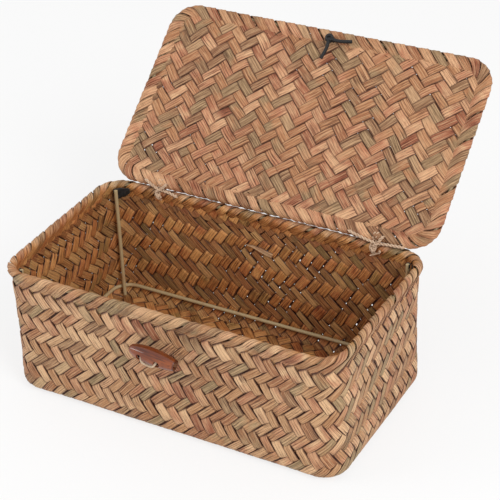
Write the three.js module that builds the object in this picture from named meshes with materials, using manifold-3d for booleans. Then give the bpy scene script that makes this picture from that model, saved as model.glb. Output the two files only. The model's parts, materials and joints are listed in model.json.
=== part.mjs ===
// A lidded box plaited from flat sedge strips over a wire frame, with twine hinges and a toggle closure.
// Millimetres, +Z up, +X along the length, the front faces -Y, the origin is under the middle of the base.
// The lid stands open, leaning back as far as its twine ties let it go.

import * as THREE from 'three';
import { mergeVertices } from 'three/addons/utils/BufferGeometryUtils.js';
import Module from 'manifold-3d';

const wasm = await Module();
wasm.setup();

// Driving dimensions of the basket
const boxLength = 268;
const boxWidth = 148;
const rimHeight = 104;
const wallThickness = 3;
const floorThickness = 3;
const cornerRadius = 20;
const baseEdgeRadius = 9;

// Driving dimensions of the plait: its strips lean one way and the other by rows, with gaps sunk between them
const stripPitch = 9.17;
const floatHeight = 10.7;
const floatRise = 9.2;
const floatFall = 6.8;
const plaitDepth = 0.9;
const lidStripPitch = 10;
const lidFloatLength = 10.9;

// Driving dimensions of the wire frame and its tape
const wireDiameter = 3;
const baseWireHeight = 10.3;
const tapeThickness = 0.8;
const tapeDrop = 4;
const tapeRise = 6;
const tapeFlapAngle = 42;

// Driving dimensions of the rim binding
const bindingThickness = 1.5;
const bindingDepth = 10;

// Driving dimensions of the lid
const lidLength = 270;
const lidWidth = 152;
const lidThickness = 3;
const lidCornerRadius = 22;
const lidShift = 2.5;
const lidGap = 1;
const lidOpenAngle = 140;
const hemThickness = 1.8;
const hemDepth = 12;

// Driving dimensions of the twine hinges
const tieEndInset = 44;
const tieWidth = 6;
const tieThickness = 2;
const knotRadius = 3.2;
const knotDrop = 3.5;
const twineDiameter = 2;

// Driving dimensions of the toggle and its thread
const toggleLength = 40;
const toggleDiameter = 12.4;
const toggleTipDiameter = 4.8;
const toggleButtDiameter = 8;
const toggleEndBevel = 0.6;
const toggleX = -2.5;
const toggleHeight = 74;
const toggleGap = 2.5;
const toggleTilt = 6.6;
const toggleRoll = 35;
const toggleHoleSpacing = 14;
const threadDiameter = 1.6;
const threadKnotDiameter = 5;

// Driving dimensions of the black elastic
const elasticDiameter = 2.6;
const elasticX = 5;
const elasticInset = 8.6;
const elasticStrandSpacing = 4.2;
const elasticKnotRadius = 2.4;

// Gap kept between neighbouring pieces, and the fineness of round shapes
const clearance = 0.3;
const cornerSteps = 6;
const wireSides = 10;
const arcSteps = 5;
const baseSteps = 3;
const plateSteps = 3;
const roundSides = 14;
const cordSides = 8;

// Places that follow from the driving dimensions
const wireRadius = wireDiameter / 2;
const bindingCavityRadius = Math.max(wallThickness, wireDiameter) / 2 + clearance;
const bindingRadius = bindingCavityRadius + bindingThickness;
const bindingBottom = rimHeight - bindingDepth;
const rimWireZ = rimHeight - bindingRadius;
const wallTop = rimWireZ - wireRadius - clearance;
const wallMiddle = -wallThickness / 2;
const bindingInnerOffset = wallMiddle - bindingRadius;
const baseWireOffset = -(wallThickness + clearance + wireRadius);
const tapeSleeveRadius = wireRadius + clearance + tapeThickness;
const postOffset = Math.min(
  baseWireOffset - wireDiameter - clearance,
  bindingInnerOffset - clearance - tapeSleeveRadius,
);
const postTop = bindingBottom + tapeRise - tapeThickness;
const hemCavityRadius = Math.max(lidThickness, wireDiameter) / 2 + clearance;
const hemRadius = hemCavityRadius + hemThickness;
const hingeY = boxWidth / 2;
const hingeZ = rimHeight + lidGap + hemRadius;
const tieRingRadius = wireRadius + clearance + tieThickness;
const tieReach = boxLength / 2 - tieEndInset;
const tiePlaces = { left: lidShift - tieReach, right: lidShift + tieReach };
const toggleRadius = toggleDiameter / 2;
const toggleAxisY = -(boxWidth / 2 + toggleGap + toggleRadius);
const threadRadius = threadDiameter / 2;
const threadReach = toggleRadius + clearance + threadRadius;
const elasticRadius = elasticDiameter / 2;

const boxOutline = { length: boxLength, width: boxWidth, radius: cornerRadius };
const lidOutline = { length: lidLength, width: lidWidth, radius: lidCornerRadius };

// Finishes
const finishes = {
  sedge: new THREE.MeshStandardMaterial({ color: 0xb08a60, roughness: 0.75, metalness: 0 }),
  sedgeLid: new THREE.MeshStandardMaterial({ color: 0xb5835c, roughness: 0.75, metalness: 0 }),
  coatedWire: new THREE.MeshStandardMaterial({ color: 0xb59f74, roughness: 0.5, metalness: 0.1 }),
  tape: new THREE.MeshStandardMaterial({ color: 0x161616, roughness: 0.6, metalness: 0 }),
  twine: new THREE.MeshStandardMaterial({ color: 0xc9ad84, roughness: 0.9, metalness: 0 }),
  toggleWood: new THREE.MeshStandardMaterial({ color: 0x7a3d1f, roughness: 0.3, metalness: 0 }),
  thread: new THREE.MeshStandardMaterial({ color: 0xe6dfd0, roughness: 0.9, metalness: 0 }),
  elastic: new THREE.MeshStandardMaterial({ color: 0x141414, roughness: 0.7, metalness: 0 }),
};

const box = new THREE.Group();
const lid = new THREE.Group();
lid.position.set(0, hingeY, hingeZ);
lid.rotation.x = -THREE.MathUtils.degToRad(lidOpenAngle);
box.add(lid);
const toggle = new THREE.Group();
toggle.position.set(toggleX, toggleAxisY, toggleHeight);
toggle.rotation.y = THREE.MathUtils.degToRad(toggleTilt);
box.add(toggle);

// Turns a closed geometry into a solid that can be joined and cut
function toSolid(geometry) {
  const plain = geometry.clone();
  plain.deleteAttribute('normal');
  plain.deleteAttribute('uv');
  const merged = mergeVertices(plain);
  const corners = merged.index.array;
  const kept = [];
  for (let first = 0; first < corners.length; first += 3) {
    const [a, b, c] = corners.slice(first, first + 3);
    if (a !== b && b !== c && c !== a) {
      kept.push(a, b, c);
    }
  }
  const vertProperties = new Float32Array(merged.attributes.position.array);
  const triVerts = new Uint32Array(kept);
  return new wasm.Manifold(new wasm.Mesh({ numProp: 3, vertProperties, triVerts }));
}

// Turns a solid back into a geometry
function toGeometry(solid) {
  const mesh = solid.getMesh();
  const geometry = new THREE.BufferGeometry();
  geometry.setAttribute('position', new THREE.BufferAttribute(mesh.vertProperties, 3));
  geometry.setIndex(new THREE.BufferAttribute(mesh.triVerts, 1));
  geometry.computeVertexNormals();
  return geometry;
}

function join(geometries) {
  return geometries.map(toSolid).reduce((whole, piece) => whole.add(piece));
}

function cut(solid, geometries) {
  return geometries.map(toSolid).reduce((rest, tool) => rest.subtract(tool), solid);
}

function addPiece(group, name, geometry, finish) {
  const mesh = new THREE.Mesh(geometry, finish);
  mesh.name = name;
  group.add(mesh);
  return mesh;
}

// Point on the bend of a rounded rectangle's corner, counted anticlockwise from the rear right one
function bendPoint(outline, corner, share, offset, z) {
  const signX = corner === 0 || corner === 3 ? 1 : -1;
  const signY = corner < 2 ? 1 : -1;
  const angle = ((corner + share) * Math.PI) / 2;
  const x = signX * (outline.length / 2 - outline.radius) + (outline.radius + offset) * Math.cos(angle);
  const y = signY * (outline.width / 2 - outline.radius) + (outline.radius + offset) * Math.sin(angle);
  return new THREE.Vector3(x, y, z);
}

// One level ring of a rounded rectangle, pushed outwards by an offset
function outlineRing(outline, offset, z) {
  const ring = [];
  for (let corner = 0; corner < 4; corner += 1) {
    for (let step = 0; step <= cornerSteps; step += 1) {
      ring.push(bendPoint(outline, corner, step / cornerSteps, offset, z));
    }
  }
  return ring;
}

function outlineLength({ length, width, radius }) {
  return 2 * (length + width) - 8 * radius + 2 * Math.PI * radius;
}

// Point at a distance round a rounded rectangle, pushed outwards by an offset
function outlinePoint(outline, distance, offset, z) {
  const bend = (outline.radius * Math.PI) / 2;
  let rest = THREE.MathUtils.euclideanModulo(distance, outlineLength(outline));
  for (let corner = 0; corner < 4; corner += 1) {
    if (rest <= bend) {
      return bendPoint(outline, corner, rest / bend, offset, z);
    }
    rest -= bend;
    const side = (corner % 2 === 0 ? outline.length : outline.width) - 2 * outline.radius;
    if (rest <= side) {
      const start = bendPoint(outline, corner, 1, offset, z);
      return start.lerp(bendPoint(outline, (corner + 1) % 4, 0, offset, z), rest / side);
    }
    rest -= side;
  }
  return bendPoint(outline, 0, 0, offset, z);
}

// Joins rings into a skin: a capped stack, or an endless loop of rings
function skinRings(rings, capped) {
  const count = rings[0].length;
  const points = rings.flat();
  const index = [];
  const spans = capped ? rings.length - 1 : rings.length;
  for (let span = 0; span < spans; span += 1) {
    const below = span * count;
    const above = ((span + 1) % rings.length) * count;
    for (let i = 0; i < count; i += 1) {
      const j = (i + 1) % count;
      index.push(below + i, below + j, above + j);
      index.push(below + i, above + j, above + i);
    }
  }
  if (capped) {
    const top = (rings.length - 1) * count;
    for (let i = 1; i < count - 1; i += 1) {
      index.push(0, i + 1, i);
      index.push(top, top + i, top + i + 1);
    }
  }
  const geometry = new THREE.BufferGeometry().setFromPoints(points);
  geometry.setIndex(index);
  geometry.computeVertexNormals();
  return geometry;
}

// Sweeps a closed section of [offset, z] points round an outline, or stacks an open one and caps its ends
function sweepSection(outline, section, capped = false) {
  return skinRings(section.map(([offset, z]) => outlineRing(outline, offset, z)), capped);
}

// Points of an arc in a section, by its centre, radius and angles in degrees
function arc([offset, z], radius, from, to, steps = arcSteps) {
  const points = [];
  for (let step = 0; step <= steps; step += 1) {
    const angle = THREE.MathUtils.degToRad(from + ((to - from) * step) / steps);
    points.push([offset + radius * Math.cos(angle), z + radius * Math.sin(angle)]);
  }
  return points;
}

function wireSection(offset, z) {
  return arc([offset, z], wireRadius, 0, 360, wireSides).slice(0, -1);
}

// A straight rod between two points
function rod(from, to, radius, sides = roundSides) {
  const span = new THREE.Vector3().subVectors(to, from);
  const geometry = new THREE.CylinderGeometry(radius, radius, span.length(), sides);
  const up = new THREE.Vector3(0, 1, 0);
  geometry.applyQuaternion(new THREE.Quaternion().setFromUnitVectors(up, span.clone().normalize()));
  const middle = new THREE.Vector3().addVectors(from, to).multiplyScalar(0.5);
  return geometry.translate(middle.x, middle.y, middle.z);
}

function ball(centre, radius, sides = roundSides) {
  const geometry = new THREE.SphereGeometry(radius, sides, sides / 2);
  return geometry.translate(centre.x, centre.y, centre.z);
}

function block(low, high) {
  const size = new THREE.Vector3().subVectors(high, low);
  const middle = new THREE.Vector3().addVectors(low, high).multiplyScalar(0.5);
  return new THREE.BoxGeometry(size.x, size.y, size.z).translate(middle.x, middle.y, middle.z);
}

// A round cord along a smooth curve through points
function cord(points, diameter, steps) {
  const section = new THREE.Shape();
  section.absarc(0, 0, diameter / 2, 0, 2 * Math.PI, false);
  const extrudePath = new THREE.CatmullRomCurve3(points);
  return new THREE.ExtrudeGeometry(section, { steps, curveSegments: cordSides / 2, extrudePath });
}

const vector = (x, y, z) => new THREE.Vector3(x, y, z);

// Point on the line of the toggle's cross holes, in its own frame: positive reach is towards the wall
function onHole(x, reach) {
  const roll = THREE.MathUtils.degToRad(toggleRoll);
  return vector(x, reach * Math.cos(roll), reach * Math.sin(roll));
}

// Point behind the toggle's middle where both ends of its stitch gather into the stem
const threadGather = vector(0, threadReach + clearance, 0);

// Height of the basket's inner face at a distance in from the outline
function innerFloorHeight(inset) {
  const innerRadius = baseEdgeRadius - wallThickness;
  const run = Math.min(baseEdgeRadius - inset, innerRadius);
  const drop = run > 0 ? innerRadius - Math.sqrt(innerRadius ** 2 - run ** 2) : 0;
  return floorThickness + drop;
}

// Level ring of the wall with a float and a gap for each strip; sunk is how deep the gaps lie
function plaitRing(offset, z, sunk, shift) {
  const around = outlineLength(boxOutline);
  const count = 2 * Math.round(around / stripPitch);
  const ring = [];
  for (let place = 0; place < count; place += 1) {
    const depth = place % 2 === 0 ? 0 : sunk;
    ring.push(outlinePoint(boxOutline, (place * around) / count + shift, offset - depth, z));
  }
  return ring;
}

// Plaited tub, floor and walls in one: the strips lean to one side in one row and to the other in the next,
// and where they stand out on one face of the wall they sink in on the other. Rows start above the base wire.
function buildTub() {
  const innerRadius = baseEdgeRadius - wallThickness;
  const outer = arc([-baseEdgeRadius, baseEdgeRadius], baseEdgeRadius, -90, 0, baseSteps)
    .map(([offset, z]) => plaitRing(offset, z, 0, 0));
  const inner = arc([-baseEdgeRadius, floorThickness + innerRadius], innerRadius, -90, 0, baseSteps)
    .map(([offset, z]) => plaitRing(offset, z, 0, 0));
  const plaitBottom = baseWireHeight + wireRadius + clearance;
  const rows = Math.round((bindingBottom - plaitBottom) / floatHeight);
  let shift = 0;
  for (let row = 0; row < rows; row += 1) {
    const z = THREE.MathUtils.lerp(plaitBottom, bindingBottom, row / rows);
    outer.push(plaitRing(0, z, plaitDepth, shift));
    inner.push(plaitRing(plaitDepth - wallThickness, z, plaitDepth, shift));
    shift += row % 2 === 0 ? -floatRise : floatFall;
  }
  outer.push(plaitRing(0, wallTop, 0, shift));
  inner.push(plaitRing(-wallThickness, wallTop, 0, shift));
  return skinRings([...outer, ...inner.reverse()], true);
}

// Woven shell: the tub, with a slot for each hinge tie and a hole for the toggle's thread
function buildShell() {
  const slots = Object.values(tiePlaces).map((x) => block(
    vector(x - tieWidth / 2 - clearance, boxWidth / 4, bindingBottom - tieThickness - 2 * clearance),
    vector(x + tieWidth / 2 + clearance, boxWidth, bindingBottom),
  ));
  toggle.updateMatrixWorld();
  const threadStart = toggle.localToWorld(threadGather.clone());
  const threadEnd = threadStart.clone().setY(-boxWidth / 4);
  const threadHole = rod(threadStart, threadEnd, threadRadius + clearance);
  return toGeometry(cut(toSolid(buildTub()), [...slots, threadHole]));
}

// Rim binding: strips folded over the rim wire and down both faces of the wall
function buildRimBinding() {
  const centre = [wallMiddle, rimWireZ];
  const section = [
    [wallMiddle + bindingRadius, bindingBottom],
    ...arc(centre, bindingRadius, 0, 180, 2 * arcSteps),
    [wallMiddle - bindingRadius, bindingBottom],
    [wallMiddle - bindingCavityRadius, bindingBottom],
    ...arc(centre, bindingCavityRadius, 180, 0, 2 * arcSteps),
    [wallMiddle + bindingCavityRadius, bindingBottom],
  ];
  return sweepSection(boxOutline, section);
}

// Wire ring: follows the box's outline at an offset and a height
function buildRing(offset, z) {
  return sweepSection(boxOutline, wireSection(offset, z));
}

// Corners of the box by name, with the signs of their quarter and the angle of their diagonal
const corners = [
  { name: 'rear_right', signX: 1, signY: 1, angle: 45 },
  { name: 'rear_left', signX: -1, signY: 1, angle: 135 },
  { name: 'front_left', signX: -1, signY: -1, angle: 225 },
  { name: 'front_right', signX: 1, signY: -1, angle: 315 },
];

function cornerCentre({ signX, signY }) {
  return vector(signX * (boxLength / 2 - cornerRadius), signY * (boxWidth / 2 - cornerRadius), 0);
}

function postPlace(corner) {
  const angle = THREE.MathUtils.degToRad(corner.angle);
  const reach = cornerRadius + postOffset;
  return cornerCentre(corner).add(vector(reach * Math.cos(angle), reach * Math.sin(angle), 0));
}

// Corner post: a straight wire from just over the floor up to the rim
function buildPost(corner) {
  const foot = postPlace(corner).setZ(innerFloorHeight(-postOffset - wireRadius) + clearance);
  return rod(foot, foot.clone().setZ(postTop), wireRadius, wireSides);
}

// Tape: a sleeve round the head of a post, with a flap stuck along the inside of the rim binding
function buildTape(corner) {
  const place = postPlace(corner);
  const centre = cornerCentre(corner);
  const flapOuter = cornerRadius + bindingInnerOffset - clearance;
  const flapInner = flapOuter - tapeThickness;
  const middle = THREE.MathUtils.degToRad(corner.angle);
  const half = THREE.MathUtils.degToRad(tapeFlapAngle) / 2;
  const flapShape = new THREE.Shape();
  flapShape.absarc(0, 0, flapOuter, middle - half, middle + half, false);
  flapShape.absarc(0, 0, flapInner, middle + half, middle - half, true);
  const flap = new THREE.ExtrudeGeometry(flapShape, {
    depth: tapeRise,
    bevelEnabled: false,
    curveSegments: plateSteps,
  });
  flap.translate(centre.x, centre.y, bindingBottom);
  const reach = flapOuter - tapeThickness / 2 - (cornerRadius + postOffset);
  const web = new THREE.BoxGeometry(reach, 2 * tapeThickness, tapeRise);
  web.translate(reach / 2, 0, tapeRise / 2).rotateZ(middle).translate(place.x, place.y, bindingBottom);
  const bottom = bindingBottom - tapeDrop;
  const top = bindingBottom + tapeRise;
  const sleeve = rod(place.clone().setZ(bottom), place.clone().setZ(top), tapeSleeveRadius);
  const hole = rod(
    place.clone().setZ(bottom - tapeDrop),
    place.clone().setZ(top + tapeRise),
    wireRadius + clearance,
  );
  return toGeometry(cut(join([flap, web, sleeve]), [hole]));
}

// A rounded frame in the YZ plane, as thick as a tie is wide
function tiePlate(x, width, low, high, radius, middleY) {
  const shape = new THREE.Shape();
  const quarter = Math.PI / 2;
  const right = width / 2 - radius;
  shape.absarc(right, low + radius, radius, -quarter, 0, false);
  shape.absarc(right, high - radius, radius, 0, quarter, false);
  shape.absarc(-right, high - radius, radius, quarter, 2 * quarter, false);
  shape.absarc(-right, low + radius, radius, 2 * quarter, 3 * quarter, false);
  const plate = new THREE.ExtrudeGeometry(shape, {
    depth: tieWidth,
    bevelEnabled: false,
    curveSegments: plateSteps,
  });
  plate.rotateX(quarter).rotateZ(quarter);
  return plate.translate(x - tieWidth / 2, middleY, 0);
}

// Twine tie: a figure of eight, with one eye round the rim binding and the other round the lid's rear wire
function buildTie(x) {
  const rimMiddleY = boxWidth / 2 + wallMiddle;
  const eyeWidth = 2 * (bindingRadius + clearance);
  const eyeLow = bindingBottom - clearance;
  const eyeHigh = rimHeight + clearance;
  const eyeRadius = 2 * clearance;
  const outerWidth = eyeWidth + 2 * tieThickness;
  const outerRadius = eyeRadius + tieThickness;
  const loopLow = eyeLow - tieThickness;
  const loopHigh = eyeHigh + tieThickness;
  const rimLoop = tiePlate(x, outerWidth, loopLow, loopHigh, outerRadius, rimMiddleY);
  const rimEye = tiePlate(x, eyeWidth, eyeLow, eyeHigh, eyeRadius, rimMiddleY);
  const left = x - tieWidth / 2;
  const right = x + tieWidth / 2;
  const lidLoop = rod(vector(left, hingeY, hingeZ), vector(right, hingeY, hingeZ), tieRingRadius);
  const lidEye = rod(
    vector(left - tieWidth, hingeY, hingeZ),
    vector(right + tieWidth, hingeY, hingeZ),
    wireRadius + clearance,
  );
  const neck = block(
    vector(left, hingeY - tieThickness, eyeHigh),
    vector(right, hingeY + tieThickness, hingeZ),
  );
  const wideEye = rimEye.clone().translate(-x, 0, 0).scale(2, 1, 1).translate(x, 0, 0);
  return toGeometry(cut(join([rimLoop, lidLoop, neck]), [wideEye, lidEye]));
}

// Twine knot on the inside of the rim, with two short tails
function buildHingeKnot(x, side) {
  const y = boxWidth / 2 + bindingInnerOffset - 2 * clearance - tieThickness - knotRadius;
  const z = rimHeight - knotDrop;
  const centre = vector(x, y, z);
  const lobe = knotRadius * 0.8;
  const lobes = [-1, 1].map((sign) => ball(vector(x + sign * lobe, y, z - sign * lobe * 0.4), lobe));
  const longTail = [
    centre,
    vector(x + side * 8, y, z - 1),
    vector(x + side * 15, y + 1.2, z - 4),
  ];
  const shortTail = [
    centre,
    vector(x - side * 3, y, z - 5),
    vector(x - side * 4, y + 1.2, z - 10),
  ];
  const tails = [longTail, shortTail].map((points) => cord(points, twineDiameter, 8));
  return toGeometry(join([ball(centre, knotRadius), ...lobes, ...tails]));
}

// The lid's pieces are made in its own frame, where it lies shut with its rear wire along the X axis.
// The panel has a notch at each tie and two holes for the elastic.
const lidMiddleY = hemRadius - lidWidth / 2;
const elasticY = hemRadius - lidWidth + elasticInset;

function tieNotches(radius) {
  return Object.values(tiePlaces).map((x) => rod(
    vector(x - tieWidth / 2 - clearance, 0, 0),
    vector(x + tieWidth / 2 + clearance, 0, 0),
    radius,
    2 * roundSides,
  ));
}

function elasticHoles() {
  return [-1, 1].map((sign) => {
    const x = elasticX + (sign * elasticStrandSpacing) / 2;
    const reach = 2 * hemRadius;
    return rod(vector(x, elasticY, -reach), vector(x, elasticY, reach), elasticRadius + clearance);
  });
}

// Plaited slab, larger than the lid: its floats lean one way and the other by columns across its length
function buildPlaitSlab() {
  const columns = Math.ceil(lidLength / lidFloatLength);
  const strips = Math.ceil(lidWidth / lidStripPitch) + 2;
  const rings = [];
  for (let column = 0; column <= columns; column += 1) {
    const x = (column - columns / 2) * lidFloatLength;
    const shift = column % 2 === 0 ? 0 : lidStripPitch;
    const lower = [];
    const upper = [];
    for (let place = 0; place <= 2 * strips; place += 1) {
      const y = ((place - strips) * lidStripPitch) / 2 + shift - lidStripPitch / 2;
      const isGap = place % 2 === 1;
      upper.push(vector(x, y, lidThickness / 2 - (isGap ? plaitDepth : 0)));
      lower.push(vector(x, y, -lidThickness / 2 + (isGap ? 0 : plaitDepth)));
    }
    rings.push([...lower, ...upper.reverse()]);
  }
  return skinRings(rings, true);
}

function buildLidPanel() {
  const edge = -(hemRadius + wireRadius + clearance);
  const section = [[edge, -lidThickness], [edge, lidThickness]];
  const panel = toSolid(buildPlaitSlab()).intersect(toSolid(sweepSection(lidOutline, section, true)));
  const tools = [...tieNotches(tieRingRadius + clearance), ...elasticHoles()];
  return toGeometry(cut(panel.translate([lidShift, lidMiddleY, 0]), tools));
}

// Lid hem: strips folded round the lid's wire; its inner flap is open at each tie
function buildLidHem() {
  const crown = [-hemRadius, 0];
  const section = [
    [-hemDepth, -hemRadius],
    ...arc(crown, hemRadius, -90, 90, 2 * arcSteps),
    [-hemDepth, hemRadius],
    [-hemDepth, hemCavityRadius],
    ...arc(crown, hemCavityRadius, 90, -90, 2 * arcSteps),
    [-hemDepth, -hemCavityRadius],
  ];
  const hem = sweepSection(lidOutline, section).translate(lidShift, lidMiddleY, 0);
  const flapGaps = Object.values(tiePlaces).map((x) => block(
    vector(x - tieWidth / 2 - clearance, -hemDepth, -2 * hemRadius),
    vector(x + tieWidth / 2 + clearance, 2 * hemRadius, 0),
  ));
  const tools = [...tieNotches(tieRingRadius + clearance), ...flapGaps, ...elasticHoles()];
  return toGeometry(cut(toSolid(hem), tools));
}

function buildLidWire() {
  return sweepSection(lidOutline, wireSection(-hemRadius, 0)).translate(lidShift, lidMiddleY, 0);
}

// Elastic knot on the lid's inner face: two stems come through the lid, and two tails stand off the knot
function buildElasticKnot() {
  const faceZ = -(hemRadius + clearance);
  const centre = vector(elasticX, elasticY, faceZ - elasticKnotRadius);
  const stems = [-1, 1].map((sign) => {
    const x = elasticX + (sign * elasticStrandSpacing) / 2;
    return rod(vector(x, elasticY, centre.z), vector(x, elasticY, hemRadius), elasticRadius, cordSides);
  });
  const tailZ = faceZ - elasticRadius;
  const sideTail = [
    centre,
    vector(elasticX + 8, elasticY + 0.6, tailZ - 0.4),
    vector(elasticX + 18, elasticY - 1, tailZ),
  ];
  const longTail = [
    centre,
    vector(elasticX + 0.5, elasticY + 7, tailZ - 1),
    vector(elasticX - 1.2, elasticY + 17, tailZ - 0.4),
  ];
  const tails = [sideTail, longTail].map((points) => cord(points, elasticDiameter, 8));
  return toGeometry(join([ball(centre, elasticKnotRadius), ...stems, ...tails]));
}

// Elastic loop: a free cord that hangs from the lid's outer face, given as [x, z] from its two exits' middle
const loopRoute = [
  [-2.1, 0],
  [-2.5, -4],
  [-3.4, -10],
  [-4.6, -18],
  [-5.6, -27],
  [-6.1, -36],
  [-6.2, -43],
  [-6.2, -47.4],
  [-5.4, -50.5],
  [-3.1, -52.8],
  [0, -53.6],
  [3.1, -52.8],
  [5.4, -50.5],
  [6.2, -47.4],
  [6.2, -43],
  [6.1, -36],
  [5.6, -27],
  [4.6, -18],
  [3.4, -10],
  [2.5, -4],
  [2.1, 0],
];

function buildElasticLoop() {
  lid.updateMatrixWorld();
  const exit = lid.localToWorld(vector(elasticX, elasticY, hemRadius + elasticRadius + clearance));
  const points = loopRoute.map(([x, z]) => vector(exit.x + x, exit.y, exit.z + z));
  return cord(points, elasticDiameter, 40);
}

// Toggle: a turned spindle, slimmer at its left tip, with two cross holes, made along X about its middle
function buildToggle() {
  const half = toggleLength / 2;
  const tipRadius = toggleTipDiameter / 2;
  const buttRadius = toggleButtDiameter / 2;
  const profile = [new THREE.Vector2(0, -half), new THREE.Vector2(tipRadius - toggleEndBevel, -half)];
  const swellSteps = 10;
  const swellPower = 0.7;
  for (let step = 0; step <= swellSteps; step += 1) {
    const along = -1 + (2 * step) / swellSteps;
    const straight = THREE.MathUtils.lerp(tipRadius, buttRadius, (along + 1) / 2);
    const radius = straight + (toggleRadius - straight) * (1 - along ** 2) ** swellPower;
    profile.push(new THREE.Vector2(radius, along * (half - toggleEndBevel)));
  }
  profile.push(new THREE.Vector2(buttRadius - toggleEndBevel, half), new THREE.Vector2(0, half));
  const spindle = new THREE.LatheGeometry(profile, 2 * roundSides).rotateZ(-Math.PI / 2);
  const holes = [-1, 1].map((sign) => {
    const x = (sign * toggleHoleSpacing) / 2;
    return rod(onHole(x, -toggleDiameter), onHole(x, toggleDiameter), threadRadius + clearance);
  });
  return toGeometry(cut(toSolid(spindle), holes));
}

// Thread: a stitch through both cross holes, gathered into one stem through the wall and knotted inside.
// The stem lies on the line that the toggle turns about.
function buildToggleThread() {
  const ends = [-1, 1].map((sign) => (sign * toggleHoleSpacing) / 2);
  const legs = ends.map((x) => rod(onHole(x, -threadReach), onHole(x, threadReach), threadRadius, cordSides));
  const bar = rod(onHole(ends[0], -threadReach), onHole(ends[1], -threadReach), threadRadius, cordSides);
  const slants = ends.map((x) => rod(onHole(x, threadReach), threadGather, threadRadius, cordSides));
  const bends = ends.flatMap((x) => [-threadReach, threadReach].map((reach) => onHole(x, reach)));
  const joints = [...bends, threadGather].map((place) => ball(place, threadRadius, cordSides));
  const wallInside = toggleRadius + toggleGap + wallThickness;
  const knotRadiusInside = threadKnotDiameter / 2;
  const knotCentre = vector(0, wallInside + clearance + knotRadiusInside, 0);
  const stem = rod(threadGather, knotCentre, threadRadius, cordSides);
  const knot = ball(knotCentre, knotRadiusInside);
  return toGeometry(join([...legs, bar, ...slants, ...joints, stem, knot]));
}

addPiece(box, 'basket_shell', buildShell(), finishes.sedge);
addPiece(box, 'rim_binding', buildRimBinding(), finishes.sedge);
addPiece(box, 'rim_wire', buildRing(wallMiddle, rimWireZ), finishes.coatedWire);
addPiece(box, 'base_wire', buildRing(baseWireOffset, baseWireHeight), finishes.coatedWire);
for (const corner of corners) {
  addPiece(box, `post_${corner.name}`, buildPost(corner), finishes.coatedWire);
  addPiece(box, `post_tape_${corner.name}`, buildTape(corner), finishes.tape);
}
for (const [side, x] of Object.entries(tiePlaces)) {
  addPiece(box, `hinge_tie_${side}`, buildTie(x), finishes.twine);
  addPiece(box, `hinge_knot_${side}`, buildHingeKnot(x, side === 'left' ? 1 : -1), finishes.twine);
}
addPiece(lid, 'lid_panel', buildLidPanel(), finishes.sedgeLid);
addPiece(lid, 'lid_hem', buildLidHem(), finishes.sedgeLid);
addPiece(lid, 'lid_wire', buildLidWire(), finishes.coatedWire);
addPiece(lid, 'elastic_knot', buildElasticKnot(), finishes.elastic);
addPiece(box, 'elastic_loop', buildElasticLoop(), finishes.elastic);
addPiece(toggle, 'toggle_button', buildToggle(), finishes.toggleWood);
addPiece(toggle, 'toggle_thread', buildToggleThread(), finishes.thread);

export default box;
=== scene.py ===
"""Looks of a woven lidded box: plaited sedge over a wire frame, twine hinges, elastic loop and toggle."""

import json
import math
import random

import bpy
from mathutils import Matrix, Vector


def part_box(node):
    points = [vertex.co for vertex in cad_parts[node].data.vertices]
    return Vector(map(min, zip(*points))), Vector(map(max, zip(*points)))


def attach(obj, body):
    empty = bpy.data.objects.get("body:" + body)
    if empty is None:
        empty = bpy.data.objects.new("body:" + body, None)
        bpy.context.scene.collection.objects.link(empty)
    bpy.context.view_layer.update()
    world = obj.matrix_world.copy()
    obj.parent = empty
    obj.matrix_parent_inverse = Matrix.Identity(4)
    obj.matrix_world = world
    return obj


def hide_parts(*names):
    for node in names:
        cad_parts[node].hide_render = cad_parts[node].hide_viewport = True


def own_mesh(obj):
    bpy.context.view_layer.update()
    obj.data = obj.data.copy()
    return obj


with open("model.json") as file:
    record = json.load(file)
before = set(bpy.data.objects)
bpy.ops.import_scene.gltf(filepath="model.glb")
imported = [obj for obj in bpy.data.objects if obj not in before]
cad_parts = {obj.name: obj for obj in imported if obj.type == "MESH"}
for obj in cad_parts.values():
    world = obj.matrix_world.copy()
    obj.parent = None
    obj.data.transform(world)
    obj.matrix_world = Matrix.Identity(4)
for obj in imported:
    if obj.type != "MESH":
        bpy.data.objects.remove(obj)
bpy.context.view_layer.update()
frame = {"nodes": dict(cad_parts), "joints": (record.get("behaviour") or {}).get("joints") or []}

bl_info = {
    "name": "Woven Lidded Box",
    "version": (1, 0, 0),
    "blender": (4, 5, 0),
    "location": "View3D > Sidebar > Woven Box",
    "description": "Dresses the packed box in plaited sedge, wire, twine, elastic and turned wood",
    "category": "Object",
}

MM = 0.001
FULL_TURN = 2 * math.pi
WHITE = (1.0, 1.0, 1.0, 1.0)


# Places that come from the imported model

joints = {joint["name"]: joint for joint in frame["joints"]}
hinge_place = Vector(joints["lid_hinge"]["pos_m"])
lid_place = Matrix.Translation(hinge_place) @ Matrix.Rotation(
    math.radians(joints["lid_hinge"]["range_deg"][0]), 4, "X"
)


def box_in_lid(node):
    """Lowest and highest corner of a node in the lid's own frame, where the lid lies shut."""
    to_lid = lid_place.inverted()
    corners = [to_lid @ vertex.co for vertex in frame["nodes"][node].data.vertices]
    low = Vector([min(corner[axis] for corner in corners) for axis in range(3)])
    high = Vector([max(corner[axis] for corner in corners) for axis in range(3)])
    return low, high


# Colours

def linear(code):
    """Linear colour, fully opaque, from an sRGB hex code."""
    channels = [int(code[place:place + 2], 16) / 255 for place in (1, 3, 5)]
    return tuple(c / 12.92 if c <= 0.04045 else ((c + 0.055) / 1.055) ** 2.4 for c in channels) + (1.0,)


def colour_property(name, description, code):
    return bpy.props.FloatVectorProperty(
        name=name, description=description, default=linear(code), subtype="COLOR", size=4, min=0, max=1
    )


# Settings

def number_property(name, description, value, **kind):
    return bpy.props.FloatProperty(name=name, description=description, default=value, **kind)


def length_property(name, description, millimetres):
    return number_property(name, description, millimetres * MM, unit="LENGTH")


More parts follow.
